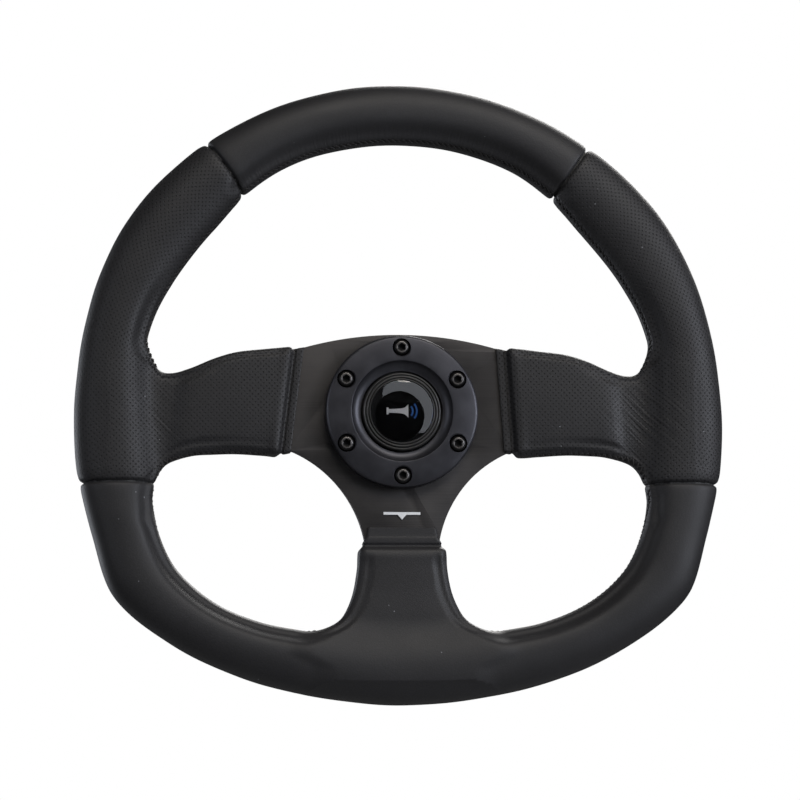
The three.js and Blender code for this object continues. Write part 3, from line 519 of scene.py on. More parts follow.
def lathed(name, profile, material=None, segments=96, place=(0, 0)):
    """A part turned about a line along the column axis, from (radius, depth) pairs."""
    points, faces = [], []
    rings = []
    for radius, depth in profile:
        start = len(points)
        if radius < 1e-6:
            points.append((place[0], depth, place[1]))
            rings.append([start] * segments)
            continue
        for i in range(segments):
            turn = i / segments * 2 * math.pi
            points.append((place[0] + radius * math.sin(turn), depth, place[1] + radius * math.cos(turn)))
        rings.append(list(range(start, start + segments)))
    if profile[0][0] > 1e-6:
        rings.append(rings[0])
    for near, far in zip(rings, rings[1:]):
        for i in range(segments):
            k = (i + 1) % segments
            corners = [near[i], near[k], far[k], far[i]]
            face = [corner for j, corner in enumerate(corners) if corner != corners[j - 1]]
            if len(face) > 2:
                faces.append(face)
    piece = put(mesh_of(points, faces), name, material)
    face_outwards(piece)
    smooth_but(piece)
    return piece


def prism(name, outline, rear, front, material=None):
    """A flat (x, z) outline given thickness from one depth to another."""
    count = len(outline)
    points = [(x, rear, z) for x, z in outline] + [(x, front, z) for x, z in outline]
    faces = [list(range(count)), list(range(count, 2 * count))[::-1]]
    for i in range(count):
        k = (i + 1) % count
        faces.append([k, i, i + count, k + count])
    piece = put(mesh_of(points, faces), name, material)
    face_outwards(piece)
    return piece


def rod(radius, rear, front, place=(0, 0), segments=40):
    """A plain round tool along the column axis."""
    return lathed("tool", [(0, rear), (radius, rear), (radius, front), (0, front)], None, segments, place)


def arc(centre, radius, start_degrees, end_degrees, steps):
    """Points on an arc in x and z. Degrees turn from +X towards +Z."""
    turns = np.radians(np.linspace(start_degrees, end_degrees, steps + 1))
    return [(centre[0] + radius * math.cos(t), centre[1] + radius * math.sin(t)) for t in turns]


def tube_points(path, radii, sides):
    """Rings of points round a path, and the quads between them with a fan on each end."""
    path = np.asarray(path, float)
    ahead = unit(np.gradient(path, axis=0))
    reference = np.array([0.0, 1.0, 0.0])
    if abs(ahead[0] @ reference) > 0.9:
        reference = np.array([1.0, 0.0, 0.0])
    across = np.cross(ahead[0], reference)
    points, faces = [], []
    for i, middle in enumerate(path):
        across = across - ahead[i] * (across @ ahead[i])
        across = across / np.linalg.norm(across)
        up = np.cross(ahead[i], across)
        for k in range(sides):
            turn = k / sides * 2 * math.pi
            points.append(middle + radii[i] * (across * math.cos(turn) + up * math.sin(turn)))
    for i in range(len(path) - 1):
        for k in range(sides):
            m = (k + 1) % sides
            faces.append([i * sides + k, i * sides + m, (i + 1) * sides + m, (i + 1) * sides + k])
    faces.append(list(range(sides))[::-1])
    faces.append([(len(path) - 1) * sides + k for k in range(sides)])
    return np.array(points), faces


def tube(name, path, radius, material, sides=12):
    """A round wire or lead along a path."""
    points, faces = tube_points(path, [radius] * len(path), sides)
    piece = put(mesh_of(points, faces), name, material)
    face_outwards(piece)
    smooth_but(piece, 50)
    return piece


def coil_path(radius, rear, front, turns, closed_turns=0.75, per_turn=32):
    """A compression spring's middle line, with its end turns lying flat."""
    at = np.linspace(0, turns, int(turns * per_turn) + 1)
    linear = np.clip((at - closed_turns) / (turns - 2 * closed_turns), 0, 1)
    depth = rear + (front - rear) * (0.75 * linear + 0.25 * smooth_step(0, 1, linear))
    turn = at * 2 * math.pi
    return np.stack([radius * np.cos(turn), depth, radius * np.sin(turn)], 1)


# ---------------------------------------------------------------- materials

class Finish:
    """A procedural material, built up from small steps."""

    def __init__(self, name, colour, roughness, metallic=0.0, specular=0.5):
        self.material = bpy.data.materials.new(name)
        self.material.use_nodes = True
        self.nodes = self.material.node_tree.nodes
        self.links = self.material.node_tree.links
        self.shader = self.nodes["Principled BSDF"]
        self.set("Base Color", (*colour, 1))
        self.set("Roughness", roughness)
        self.set("Metallic", metallic)
        self.set("Specular IOR Level", specular)
        self.normal = None

    def set(self, socket, value):
        """A fixed value for one of the shader's sockets."""
        self.shader.inputs[socket].default_value = value
        return self

    def add(self, kind, links=(), **values):
        """A new node, with its inputs set by name or linked from another node's output."""
        node = self.nodes.new(kind)
        for key, value in values.items():
            setattr(node, key, value)
        for socket, source in links:
            if hasattr(source, "is_output"):
                self.links.new(source, node.inputs[socket])
            else:
                node.inputs[socket].default_value = source
        return node

    def place(self, stretch=(1, 1, 1), turn=(0, 0, 0)):
        """Object coordinates in mm, turned and then stretched."""
        source = self.add("ShaderNodeTexCoord").outputs["Object"]
        scale = tuple(MM / share for share in stretch)
        links = [("Vector", source), ("Scale", scale), ("Rotation", turn)]
        return self.add("ShaderNodeMapping", links, vector_type="TEXTURE").outputs["Vector"]

    def noise(self, size, detail=3, roughness=0.55, place=None):
        """Cloudy noise whose features are about size mm across."""
        if place is None:
            place = self.place()
        links = [("Vector", place), ("Scale", 1 / size), ("Detail", detail), ("Roughness", roughness)]
        return self.add("ShaderNodeTexNoise", links).outputs["Fac"]

    def cells(self, size, feature="F1", smoothness=None):
        """The distance to the nearest of scattered points about size mm apart."""
        links = [("Vector", self.place()), ("Scale", 1 / size)]
        if smoothness is not None:
            links.append(("Smoothness", smoothness))
        return self.add("ShaderNodeTexVoronoi", links, feature=feature).outputs["Distance"]

    def maths(self, operation, a, b):
        """The result of an operation on two numbers."""
        return self.add("ShaderNodeMath", [(0, a), (1, b)], operation=operation).outputs[0]

    def vector(self, operation, a, b=None, output=0):
        """The result of a vector operation: output 0 is a vector, and output 1 a number."""
        links = [(0, a)] if b is None else [(0, a), (1, b)]
        return self.add("ShaderNodeVectorMath", links, operation=operation).outputs[output]

    def span(self, value, low, high, to_low=0.0, to_high=1.0):
        """A value's course from low to high, eased, as one from to_low to to_high."""
        links = [("Value", value), ("From Min", low), ("From Max", high)]
        links += [("To Min", to_low), ("To Max", to_high)]
        return self.add("ShaderNodeMapRange", links, interpolation_type="SMOOTHSTEP").outputs["Result"]

    def bump(self, height, strength, distance):
        """Adds relief, distance mm high, on top of what is there."""
        links = [("Height", height), ("Strength", strength), ("Distance", distance * MM)]
        if self.normal is not None:
            links.append(("Normal", self.normal))
        self.normal = self.add("ShaderNodeBump", links).outputs["Normal"]
        self.links.new(self.normal, self.shader.inputs["Normal"])
        return self

    def mix(self, factor, first, second):
        """A blend of two colours, each a triple or another node's output."""
        node = self.add("ShaderNodeMix", [("Factor", factor)], data_type="RGBA")
        for socket, value in ((6, first), (7, second)):
            if hasattr(value, "is_output"):
                self.links.new(value, node.inputs[socket])
            else:
                node.inputs[socket].default_value = (*value, 1)
        return node.outputs[2]

    def paint(self, colour):
        """Base colour from a node's output."""
        self.links.new(colour, self.shader.inputs["Base Color"])
        return self

    def polish(self, value, low, high):
        """Roughness that follows a value from 0 to 1."""
        self.links.new(self.span(value, 0, 1, low, high), self.shader.inputs["Roughness"])
        return self


SEAM_CREASES = "seam_creases"
ROOT_CREASES = "root_creases"


def leather(name, perforated):
    """Black automotive leather: fine pores, creases, a few specks of lint, and holes if perforated."""
    base = (0.0170, 0.0163, 0.0176)
    finish = Finish(name, base, 0.55, specular=0.36)
    clouds = finish.noise(38, 2)
    fine = finish.noise(0.45, 4, 0.6)
    worn = finish.mix(finish.span(clouds, 0.35, 0.7), base, (0.0205, 0.0197, 0.0210))
    pores = finish.cells(0.85, smoothness=0.6, feature="SMOOTH_F1")
    shade = finish.mix(finish.span(pores, 0.15, 0.6, 0.0, 0.35), worn, (0.009, 0.009, 0.009))
    specks = finish.cells(9)
    chosen = finish.cells(31)
    lint = finish.maths("MULTIPLY", finish.span(specks, 0.045, 0.03), finish.span(chosen, 0.42, 0.38))
    shade = finish.mix(finish.maths("MULTIPLY", lint, 0.5), shade, (0.30, 0.31, 0.33))
    finish.bump(pores, 0.35, 0.10)
    finish.bump(fine, 0.25, 0.05)
    where = finish.add("ShaderNodeUVMap", uv_map="leather_map").outputs["UV"]
    along_rim = finish.vector("MULTIPLY", where, (1.9, 0.2, 1))
    down_root = finish.place((0.03, 0.05, 0.5), (0, math.radians(45), 0))
    for kind, place, height in ((SEAM_CREASES, along_rim, 0.2), (ROOT_CREASES, down_root, 0.36)):
        pull = finish.add("ShaderNodeAttribute", attribute_name=kind).outputs["Fac"]
        folds = finish.span(finish.noise(1, 2, 0.5, place), 0.35, 0.65)
        finish.bump(finish.maths("MULTIPLY", folds, pull), 0.8, height)
    if perforated:
        holes = None
        for shift in (0, 0.5):
            tile = finish.vector("FRACTION", finish.vector("ADD", where, (shift, shift, 0)))
            flat = finish.vector("MULTIPLY", finish.vector("SUBTRACT", tile, (0.5, 0.5, 0)), (1, 1, 0))
            from_hole = finish.vector("LENGTH", flat, output=1)
            holes = from_hole if holes is None else finish.maths("MINIMUM", holes, from_hole)
        punched = finish.span(holes, 0.17, 0.10)
        shade = finish.mix(punched, shade, (0.002, 0.002, 0.002))
        finish.bump(punched, 1.0, -0.35)
    finish.paint(shade)
    finish.polish(clouds, 0.50, 0.64)
    return finish.material


def foam():
    """Moulded foam with an open, bubbly skin."""
    finish = Finish("foam_grey", (0.06, 0.06, 0.058), 0.95, specular=0.2)
    bubbles = finish.cells(0.7)
    finish.paint(finish.mix(finish.span(bubbles, 0.1, 0.5), (0.03, 0.03, 0.03), (0.08, 0.08, 0.078)))
    return finish.bump(bubbles, 0.8, 0.3).material


def thread():
    """Twisted polyester thread."""
    finish = Finish("thread_black", (0.030, 0.028, 0.027), 0.65, specular=0.25)
    twist = finish.noise(0.18, 2, place=finish.place((1, 1, 2.4), (0.6, 0.4, 0.8)))
    finish.paint(finish.mix(twist, (0.013, 0.012, 0.012), (0.052, 0.049, 0.047)))
    return finish.bump(twist, 0.8, 0.12).material


def brushed_plate():
    """Black anodised aluminium plate, brushed along X."""
    finish = Finish("anodised_black", (0.046, 0.043, 0.042), 0.5, 0.75, 0.4)
    brushed = finish.noise(1, 3, 0.6, finish.place((0.02, 1, 3.2)))
    clouds = finish.noise(26, 3)
    tone = finish.mix(finish.span(clouds, 0.3, 0.7), (0.038, 0.036, 0.036), (0.052, 0.049, 0.048))
    finish.paint(finish.mix(finish.span(brushed, 0.2, 0.8, 0.0, 0.6), tone, (0.064, 0.060, 0.058)))
    finish.bump(brushed, 0.25, 0.03)
    finish.polish(clouds, 0.44, 0.56)
    return finish.material


def turned_metal(name, colour, roughness):
    """Metal turned on a lathe, with fine rings round the column axis."""
    finish = Finish(name, colour, roughness, 0.8, 0.45)
    source = finish.add("ShaderNodeTexCoord").outputs["Object"]
    radius = finish.vector("LENGTH", finish.vector("MULTIPLY", source, (1 / MM, 0, 1 / MM)), output=1)
    depth = finish.add("ShaderNodeSeparateXYZ", [(0, source)]).outputs["Y"]
    across = finish.maths("ADD", radius, finish.maths("MULTIPLY", depth, 0.7 / MM))
    links = [("W", across), ("Scale", 2.4), ("Detail", 3)]
    rings = finish.add("ShaderNodeTexNoise", links, noise_dimensions="1D").outputs["Fac"]
    clouds = finish.noise(14, 3)
    lighter = tuple(1.35 * value for value in colour)
    finish.paint(finish.mix(finish.span(clouds, 0.3, 0.75), colour, lighter))
    finish.bump(rings, 0.18, 0.02)
    return finish.polish(clouds, roughness - 0.05, roughness + 0.08).material


def plain_metal(name, colour, roughness, metallic=1.0):
    """Steel or brass with faint handling marks."""
    finish = Finish(name, colour, roughness, metallic)
    marks = finish.noise(0.8, 4, 0.65, finish.place((1, 0.3, 1)))
    darker = tuple(0.65 * value for value in colour)
    finish.paint(finish.mix(finish.span(marks, 0.3, 0.75), darker, colour))
    finish.bump(marks, 0.15, 0.02)
    return finish.polish(marks, roughness - 0.06, roughness + 0.1).material


def moulded(name, colour, roughness):
    """Moulded plastic with a fine spark-eroded texture."""
    finish = Finish(name, colour, roughness)
    texture = finish.noise(0.25, 3)
    clouds = finish.noise(7, 2)
    lighter = tuple(1.4 * value + 0.002 for value in colour)
    finish.paint(finish.mix(finish.span(clouds, 0.3, 0.7), colour, lighter))
    finish.bump(texture, 0.4, 0.03)
    return finish.polish(clouds, roughness - 0.04, roughness + 0.06).material


def clear_dome():
    """A clear cast dome, with a trace of orange peel."""
    finish = Finish("clear_dome", (1, 1, 1), 0.02)
    finish.set("Transmission Weight", 1.0)
    finish.set("IOR", 1.7)
    finish.bump(finish.noise(5, 1), 0.02, 0.01)
    return finish.polish(finish.noise(5, 2), 0.015, 0.04).material


def optical_bond():
    """The lens's flat back, where clear glue joins it to the badge without a reflection."""
    finish = Finish("optical_bond", (1, 1, 1), 0.5, specular=0.0)
    finish.bump(finish.noise(5, 1), 0.02, 0.01)
    return finish.set("Alpha", 0.0).material


def gloss_disc():
    """The badge's glossy black plate, seen through the lens."""
    finish = Finish("black_plastic_gloss", (0.0025, 0.0025, 0.003), 0.3, specular=0.08)
    flecks = finish.noise(0.3, 2)
    tones = (0.0015, 0.0015, 0.002), (0.006, 0.006, 0.007)
    finish.paint(finish.mix(finish.span(flecks, 0.6, 0.8), *tones))
    return finish.bump(flecks, 0.05, 0.01).material


def print_ink(name, colour):
    """Screen-printed ink, slightly patchy."""
    finish = Finish(name, colour, 0.45)
    patchy = finish.noise(0.6, 3)
    darker = tuple(0.86 * value for value in colour)
    finish.paint(finish.mix(finish.span(patchy, 0.3, 0.7), darker, colour))
    return finish.bump(patchy, 0.2, 0.01).material


LOOKS = {
    "leather_smooth": leather("leather_smooth", False),
    "leather_perforated": leather("leather_perforated", True),
    "foam_grey": foam(),
    "thread_black": thread(),
    "anodised_black": brushed_plate(),
    "anodised_black_turned": turned_metal("anodised_black_turned", (0.030, 0.029, 0.029), 0.42),
    "anodised_ring": turned_metal("anodised_ring", (0.042, 0.042, 0.048), 0.42),
    "black_steel": plain_metal("black_steel", (0.022, 0.021, 0.021), 0.38, 0.85),
    # lighter steel for the rim round the screws' sockets: a painted highlight
    "steel_painted_highlight": plain_metal("steel_painted_highlight", (0.20, 0.19, 0.185), 0.36, 1.0),
    "bright_steel": plain_metal("bright_steel", (0.62, 0.62, 0.63), 0.16),
    "spring_steel": plain_metal("spring_steel", (0.40, 0.41, 0.43), 0.28),
    "brass": plain_metal("brass", (0.62, 0.43, 0.17), 0.3),
    "black_plastic": moulded("black_plastic", (0.016, 0.0155, 0.015), 0.42),
    "black_plastic_gloss": gloss_disc(),
    "clear_dome": clear_dome(),
    "optical_bond": optical_bond(),
    "white_print": print_ink("white_print", (0.72, 0.73, 0.74)),
    "blue_print": print_ink("blue_print", (0.012, 0.13, 0.50)),
    "red_wire": moulded("red_wire", (0.40, 0.03, 0.02), 0.4),
    "black_wire": moulded("black_wire", (0.015, 0.015, 0.015), 0.45),
    "natural_nylon": moulded("natural_nylon", (0.62, 0.58, 0.47), 0.5),
}


def fitted(piece, slot, *nodes, body="wheel"):
    """The piece takes the place of its CAD nodes, on their body."""
    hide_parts(*nodes)
    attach(piece, body)
    return piece


def surfaced(piece, *looks):
    """The piece with only these materials, after tools without one have cut it."""
    piece.data.materials.clear()
    for look in looks:
        piece.data.materials.append(LOOKS[look])


def squeezed(spring):
    """Gives the spring its own copy of its mesh."""
    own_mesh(spring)


# ---------------------------------------------------------------- leather, foam and stitching

def split_by(shape, point, normal, clear=False, where=None):
    """Cuts a mesh along a plane. The side that the normal points to is dropped if clear is set."""
    faces = [face for face in shape.faces if where is None or where(face.calc_center_median())]
    edges = dict.fromkeys(edge for face in faces for edge in face.edges)  # each once, in order
    vertices = dict.fromkeys(vertex for face in faces for vertex in face.verts)
    bmesh.ops.bisect_plane(shape, geom=[*faces, *edges, *vertices], dist=0.02, plane_co=point,
                           plane_no=normal, clear_outer=clear, clear_inner=False)


def seam_planes():
    """The planes where the leather is parted: (point, normal), the normal towards the lower panels."""
    planes = {}
    for side, name in ((1, "right"), (-1, "left")):
        planes[name] = (Vector((0, 0, 0)), Vector((side * math.cos(TOP_SEAM), 0, -math.sin(TOP_SEAM))))
    planes["lower"] = (Vector((0, 0, LOWER_SEAM_Z)), Vector((0, 0, -1)))
    return planes


ROLL_STEPS = (0.35, 0.7, 1.1, 1.6, 2.3, 3.4)  # extra rows of points where the leather rolls into a seam
HEM_STEPS = (0.35, 0.8, 3.3, 3.8, 4.2, 4.7, 5.2, 5.55, 5.9, 6.3, 6.8, 7.4, 8.2, 9.4)


def skin_of(points, faces, boundary):
    """A skin LEATHER thick from its outer surface: its points, their normals and its faces."""
    outward = unit(gradient(leather_field, points))
    count = len(points)
    inner = points - outward * LEATHER
    every = [list(face) for face in faces]
    every += [[corner + count for corner in face[::-1]] for face in faces]
    every += [[b, a, a + count, b + count] for a, b in boundary]
    return np.concatenate([points, inner]), np.concatenate([outward, -outward]), every


def leather_map(points, on_pad):
    """Flat coordinates on the leather, in hole pitches: along and round the rim, or x and z on a pad."""
    x, depth, z = points.T
    turn = np.arctan2(depth - RIM_DEPTH, rim_middle(x, z)[1])
    rim = np.stack([np.arctan2(np.abs(x), z) * RIM_MEAN_RADIUS, turn * SECTION_RADIUS], 1)
    flat = np.stack([np.abs(x), z], 1)
    return np.where(on_pad[:, None], flat, rim) / HOLE_PITCH


def crease_marks(points):
    """How strongly the leather is creased at each point: along its seams, and at the spokes' roots."""
    x, depth, z = points.T
    radius = np.hypot(x, z)
    above_lower = z - LOWER_SEAM_Z
    at_seam = 0.5 * bell(depth - stitch_depth(z) - 3, 5) * smooth_step(0, -8, rim_middle(x, z)[1])
    at_seam *= away_from_roots(x, z) * (radius > 118)
    fold = 0.35 * bell(above_lower - 9, 8) * smooth_step(0, 3, above_lower) * (radius > 130)
    root = bell(np.abs(x) - 133, 17) * bell(z + 4, 19) * (depth > RIM_DEPTH)
    return np.maximum(at_seam, fold), np.where(x > 0, 1.0, 0.5) * root


def read(items, field, width=1, kind=float):
    """One value, or width of them, for each item of a mesh."""
    values = np.zeros(len(items) * width, kind)
    items.foreach_get(field, values)
    return values


def leather_panel(name, slot, node, net, planes, details):
    """One piece of leather: cut out of the padded body's surface along planes, then given thickness."""
    points, faces = net
    keep = np.ones(len(points), bool)
    for point, normal in planes:
        keep &= (points - np.array(point)) @ np.array(normal) < 3
    faces = faces[keep[faces].all(1)]
    used = np.unique(faces)
    shape = bmesh.new()
    corners = [shape.verts.new(point) for point in points[used].tolist()]
    for face in np.searchsorted(used, faces).tolist():
        shape.faces.new([corners[i] for i in face])
    for point, normal in planes:
        split_by(shape, point, normal, clear=True)
    for point, normal, where in details:
        split_by(shape, point, normal, where=where)
    bmesh.ops.dissolve_degenerate(shape, dist=0.03, edges=shape.edges)
    shape.verts.index_update()
    outer = onto_surface(leather_field, np.array([vertex.co[:] for vertex in shape.verts]), 2)
    outer_faces = [[vertex.index for vertex in face.verts] for face in shape.faces]
    boundary = []
    for edge in shape.edges:
        if len(edge.link_loops) == 1:
            loop = edge.link_loops[0]
            boundary.append((loop.vert.index, loop.link_loop_next.vert.index))
    shape.free()
    every_point, every_normal, every_face = skin_of(outer, outer_faces, boundary)
    mesh = mesh_of(every_point, every_face)
    mesh.polygons.foreach_set("use_smooth", [True] * len(mesh.polygons))
    mesh.normals_split_custom_set_from_vertices((to_metres(every_normal) / MM).tolist())
    middle_x, _, middle_z = read(mesh.polygons, "center", 3).reshape(-1, 3).T / MM
    on_pad = (np.abs(middle_x) < 156) & (middle_z < 30) & (middle_z > LOWER_SEAM_Z)
    on_pad |= (np.abs(middle_x) < 110) & (np.abs(middle_z) < SPOKE_BAND)
    corner_on_pad = np.repeat(on_pad, read(mesh.polygons, "loop_total", kind=int))
    flat = leather_map(every_point[read(mesh.loops, "vertex_index", kind=int)], corner_on_pad)
    mesh.uv_layers.new(name="leather_map").data.foreach_set("uv", flat.ravel())
    for kind, amount in zip((SEAM_CREASES, ROOT_CREASES), crease_marks(every_point)):
        mesh.attributes.new(kind, "FLOAT", "POINT").data.foreach_set("value", amount)
    piece = put(mesh, name, LOOKS[slot])
    return fitted(piece, slot, node)


def make_leather():
    """The four panels, all cut from one net over the padded body."""
    low = (-186, RIM_DEPTH - 18, -168)
    high = (186, RIM_DEPTH + 18, 186)
    points, faces = net_over(leather_field, low, high, 1.25)
    net = (evened(leather_field, points, faces), faces)
    planes = seam_planes()
    gap = {name: (point + normal * PANEL_GAP, point - normal * PANEL_GAP, normal)
           for name, (point, normal) in planes.items()}

    def rows(name, direction, where):
        """Extra cuts beside a seam, for the faces that where() picks."""
        point, normal = planes[name]
        return [(point + normal * direction * step, normal, where) for step in ROLL_STEPS]

    def upper(side):
        return lambda middle: middle.x * side > 0 and middle.z > 60

    def around_lower_seam(middle):
        return -60 < middle.z < -25 and abs(middle.x) > 110

    def hem_plane(side, beyond=0.0):
        """The slanted plane that a side spoke's leather starts at, or one further out."""
        start = HEM_MIDDLE_X - side * HEM_UNEVENNESS + beyond
        return Vector((side * start, 0, HEM_MIDDLE_Z)), Vector((side, 0, HEM_SLANT - side * HEM_TWIST))

    def near_side_hem(side):
        return lambda middle: 40 < middle.x * side < 75 and -40 < middle.z < 50

    def near_lower_hem(middle):
        return abs(middle.x) < 50 and -85 < middle.z < -60

    top_planes = [gap[name][1:] for name in ("right", "left")]
    top_details = rows("right", -1, upper(1)) + rows("left", -1, upper(-1))
    leather_panel("panel_top", "leather_smooth", "leather_top", net, top_planes, top_details)
    for side, name in ((1, "right"), (-1, "left")):
        grip_planes = [
            (gap[name][0], -gap[name][2]),
            gap["lower"][1:],
            (hem_plane(side)[0], -hem_plane(side)[1]),
        ]
        details = rows(name, 1, upper(side)) + rows("lower", -1, around_lower_seam)
        details += [(*hem_plane(side, step), near_side_hem(side)) for step in HEM_STEPS]
        leather_panel(f"panel_{name}", "leather_perforated", f"leather_{name}", net, grip_planes, details)
    hem = Vector((0, 0, -LOWER_HEM_Z))
    bottom_planes = [(gap["lower"][0], -gap["lower"][2])]
    bottom_details = rows("lower", 1, around_lower_seam)
    down = Vector((0, 0, -1))
    bottom_details += [(hem + down * step, down, near_lower_hem) for step in (0, *HEM_STEPS)]
    leather_panel("panel_bottom", "leather_smooth", "leather_bottom", net, bottom_planes, bottom_details)


def make_foam():
    """The foam that fills the leather, round the frame's hoop and arms."""
    low = (-184, RIM_DEPTH - 16, -166)
    high = (184, RIM_DEPTH + 16, 184)
    points, faces = net_over(foam_field, low, high, 2.4)
    piece = put(mesh_of(onto_surface(foam_field, points, 2), faces), "core_foam", LOOKS["foam_grey"])
    face_outwards(piece)
    smooth_but(piece, 50)
    fitted(piece, "foam_grey", "rim_foam")


def edge_of_opening(centre, degrees):
    """Where rays from an opening's middle meet the leather, at the closing seam's depth."""
    turns = np.radians(degrees)
    ahead = np.stack([np.sin(turns), 0 * turns, np.cos(turns)], 1)
    near = np.full(len(turns), 5.0)
    for _ in range(400):
        at = np.array([centre[0], 0, centre[1]]) + ahead * near[:, None]
        at[:, 1] = stitch_depth(at[:, 2])
        near += np.clip(leather_field(*at.T), 0, 2) * 0.5
    return at


def evenly(path, pitch):
    """Points an even pitch apart along a path."""
    lengths = np.concatenate([[0], np.cumsum(np.linalg.norm(np.diff(path, axis=0), axis=1))])
    at = np.arange(pitch / 2, lengths[-1], pitch)
    return np.stack([np.interp(at, lengths, path[:, axis]) for axis in range(3)], 1)


def stitching(name, node, path):
    """A closing seam sewn in crosses: each stitch is a bowed length of thread over the seam."""
    middle = onto_surface(leather_field, evenly(path, STITCH_PITCH))
    up = unit(gradient(leather_field, middle))
    on = unit(np.gradient(middle, axis=0))
    across = unit(np.cross(up, on))
    x, _, z = middle.T
    from_seam = np.minimum(np.abs(top_seam_offset(x, z)), np.abs(z - LOWER_SEAM_Z))
    from_seam[(np.abs(x) < 46) & (z < 0)] = 0  # none show on the lower spoke
    bow = np.linspace(0, math.pi, 9)
    sweep = np.cos(bow)[:, None]
    points, faces = [], []
    for i in np.flatnonzero(from_seam > 2.4):
        for lean in (1, -1):
            reach = on[i] * STITCH_PITCH * 0.42 + across[i] * lean * STITCH_HALF_WIDTH
            line = onto_surface(leather_field, middle[i] + reach * sweep, 2)
            lift = np.sin(bow) * (0.75 + 0.2 * lean) - 0.4
            radii = THREAD_RADIUS * (0.75 + 0.25 * np.sin(bow))
            ring_points, ring_faces = tube_points(line + up[i] * lift[:, None], radii, 6)
            faces += [[corner + len(points) for corner in face] for face in ring_faces]
            points += list(ring_points)
    piece = put(mesh_of(points, faces), name, LOOKS["thread_black"])
    smooth_but(piece, 60)
    fitted(piece, "thread_black", node)


def make_stitching():
    """The seam along the rim's inner side, and on along the lower edges of the spokes."""
    upper = edge_of_opening((0, 60), np.linspace(-108, 108, 420))
    offset = top_seam_offset(upper[:, 0], upper[:, 2])
    stitching("seam_thread_top", "stitching_top", upper[offset < 0])
    for side, name in ((1, "right"), (-1, "left")):
        on_grip = (offset > 0) & (upper[:, 0] * side > 0) & (np.hypot(upper[:, 0], upper[:, 2]) > 134)
        stitching(f"seam_thread_{name}", f"stitching_{name}", upper[on_grip])
        lower = edge_of_opening((side * 82, -72), side * np.linspace(-10, 258, 480))
        stitching(f"seam_thread_lower_{name}", f"stitching_lower_{name}", lower)


# ---------------------------------------------------------------- hub plate, ring and screws

def bolt_places():
    """The six (x, z) places round the bolt circle."""
    turns = [i / BOLT_COUNT * 2 * math.pi for i in range(BOLT_COUNT)]
    return [(BOLT_CIRCLE * math.sin(turn), BOLT_CIRCLE * math.cos(turn)) for turn in turns]


def hub_outline():
    """The hub plate with the roots of its three arms."""
    top_radius, top_z, half_top = 191, -148.1, 51.8
    scoop_radius, scoop_x, scoop_z = 66.4, 85.6, -82
    arm_end_x, arm_end_z, arm_low = 64, 33.6, -21
    foot_z, foot_half = -80, 18
    top_turn = math.degrees(math.acos(half_top / top_radius))
    scoop_start = math.degrees(math.acos((59 - scoop_x) / scoop_radius))
    scoop_end = 180 - math.degrees(math.asin((-67 - scoop_z) / scoop_radius))
    right = arc((scoop_x, scoop_z), scoop_radius, scoop_end, scoop_start, 40)
    left = [(-x, z) for x, z in right[::-1]]
    outline = arc((0, top_z), top_radius, top_turn, 180 - top_turn, 48)
    outline += [(-arm_end_x, arm_end_z), (-arm_end_x, arm_low)] + left
    outline += [(-foot_half, foot_z), (foot_half, foot_z)] + right
    return outline + [(arm_end_x, arm_low), (arm_end_x, arm_end_z)]


def hidden_hoop():
    """The flat hoop inside the rim, as a ring of quads."""
    steps = 180
    points, faces = [], []
    for i in range(steps):
        turn = i / steps * 2 * math.pi
        degrees = math.degrees(math.acos(math.cos(turn)))
        outside, inside = smooth_through(RIM_OUTSIDE, degrees), smooth_through(RIM_INSIDE, degrees)
        middle = (outside + inside) / 2
        for radius in (middle - HOOP_HALF_WIDTH, middle + HOOP_HALF_WIDTH):
            for depth in (PLATE_REAR, PLATE_FRONT):
                points.append((radius * math.sin(turn), depth, radius * math.cos(turn)))
    for i in range(steps):
        k = (i + 1) % steps
        for a, b in ((0, 1), (1, 3), (3, 2), (2, 0)):
            faces.append([4 * i + a, 4 * i + b, 4 * k + b, 4 * k + a])
    piece = put(mesh_of(points, faces), "tool", None)
    face_outwards(piece)
    return piece


def make_plate():
    """The spider: hub plate, three arms and the hoop, with the holes of the hub."""
    plate = prism("hub_plate", hub_outline(), PLATE_REAR, PLATE_FRONT)
    arms = [hidden_hoop()]
    for side in (1, -1):
        taper = [(62, 33.5), (100, 21.5), (150, 11.5), (150, -12.5), (100, -17), (62, -20.9)]
        arms.append(prism("tool", [(side * x, z) for x, z in taper], PLATE_REAR, PLATE_FRONT))
    arms.append(prism("tool", [(-17.9, -79), (17.9, -79), (17.9, -142), (-17.9, -142)],
                      PLATE_REAR, PLATE_FRONT))
    carved(plate, arms, "UNION")
    centre_hole = 26
    holes = [rod(SCREW_HOLE, PLATE_REAR - 1, PLATE_FRONT + 1, place) for place in bolt_places()]
    holes.append(rod(centre_hole, PLATE_REAR - 1, PLATE_FRONT + 1, segments=96))
    carved(plate, holes)
    edges_rounded(plate, 0.45, 3)
    smooth_but(plate)
    surfaced(plate, "anodised_black")
    fitted(plate, "anodised_black", "spoke_frame")


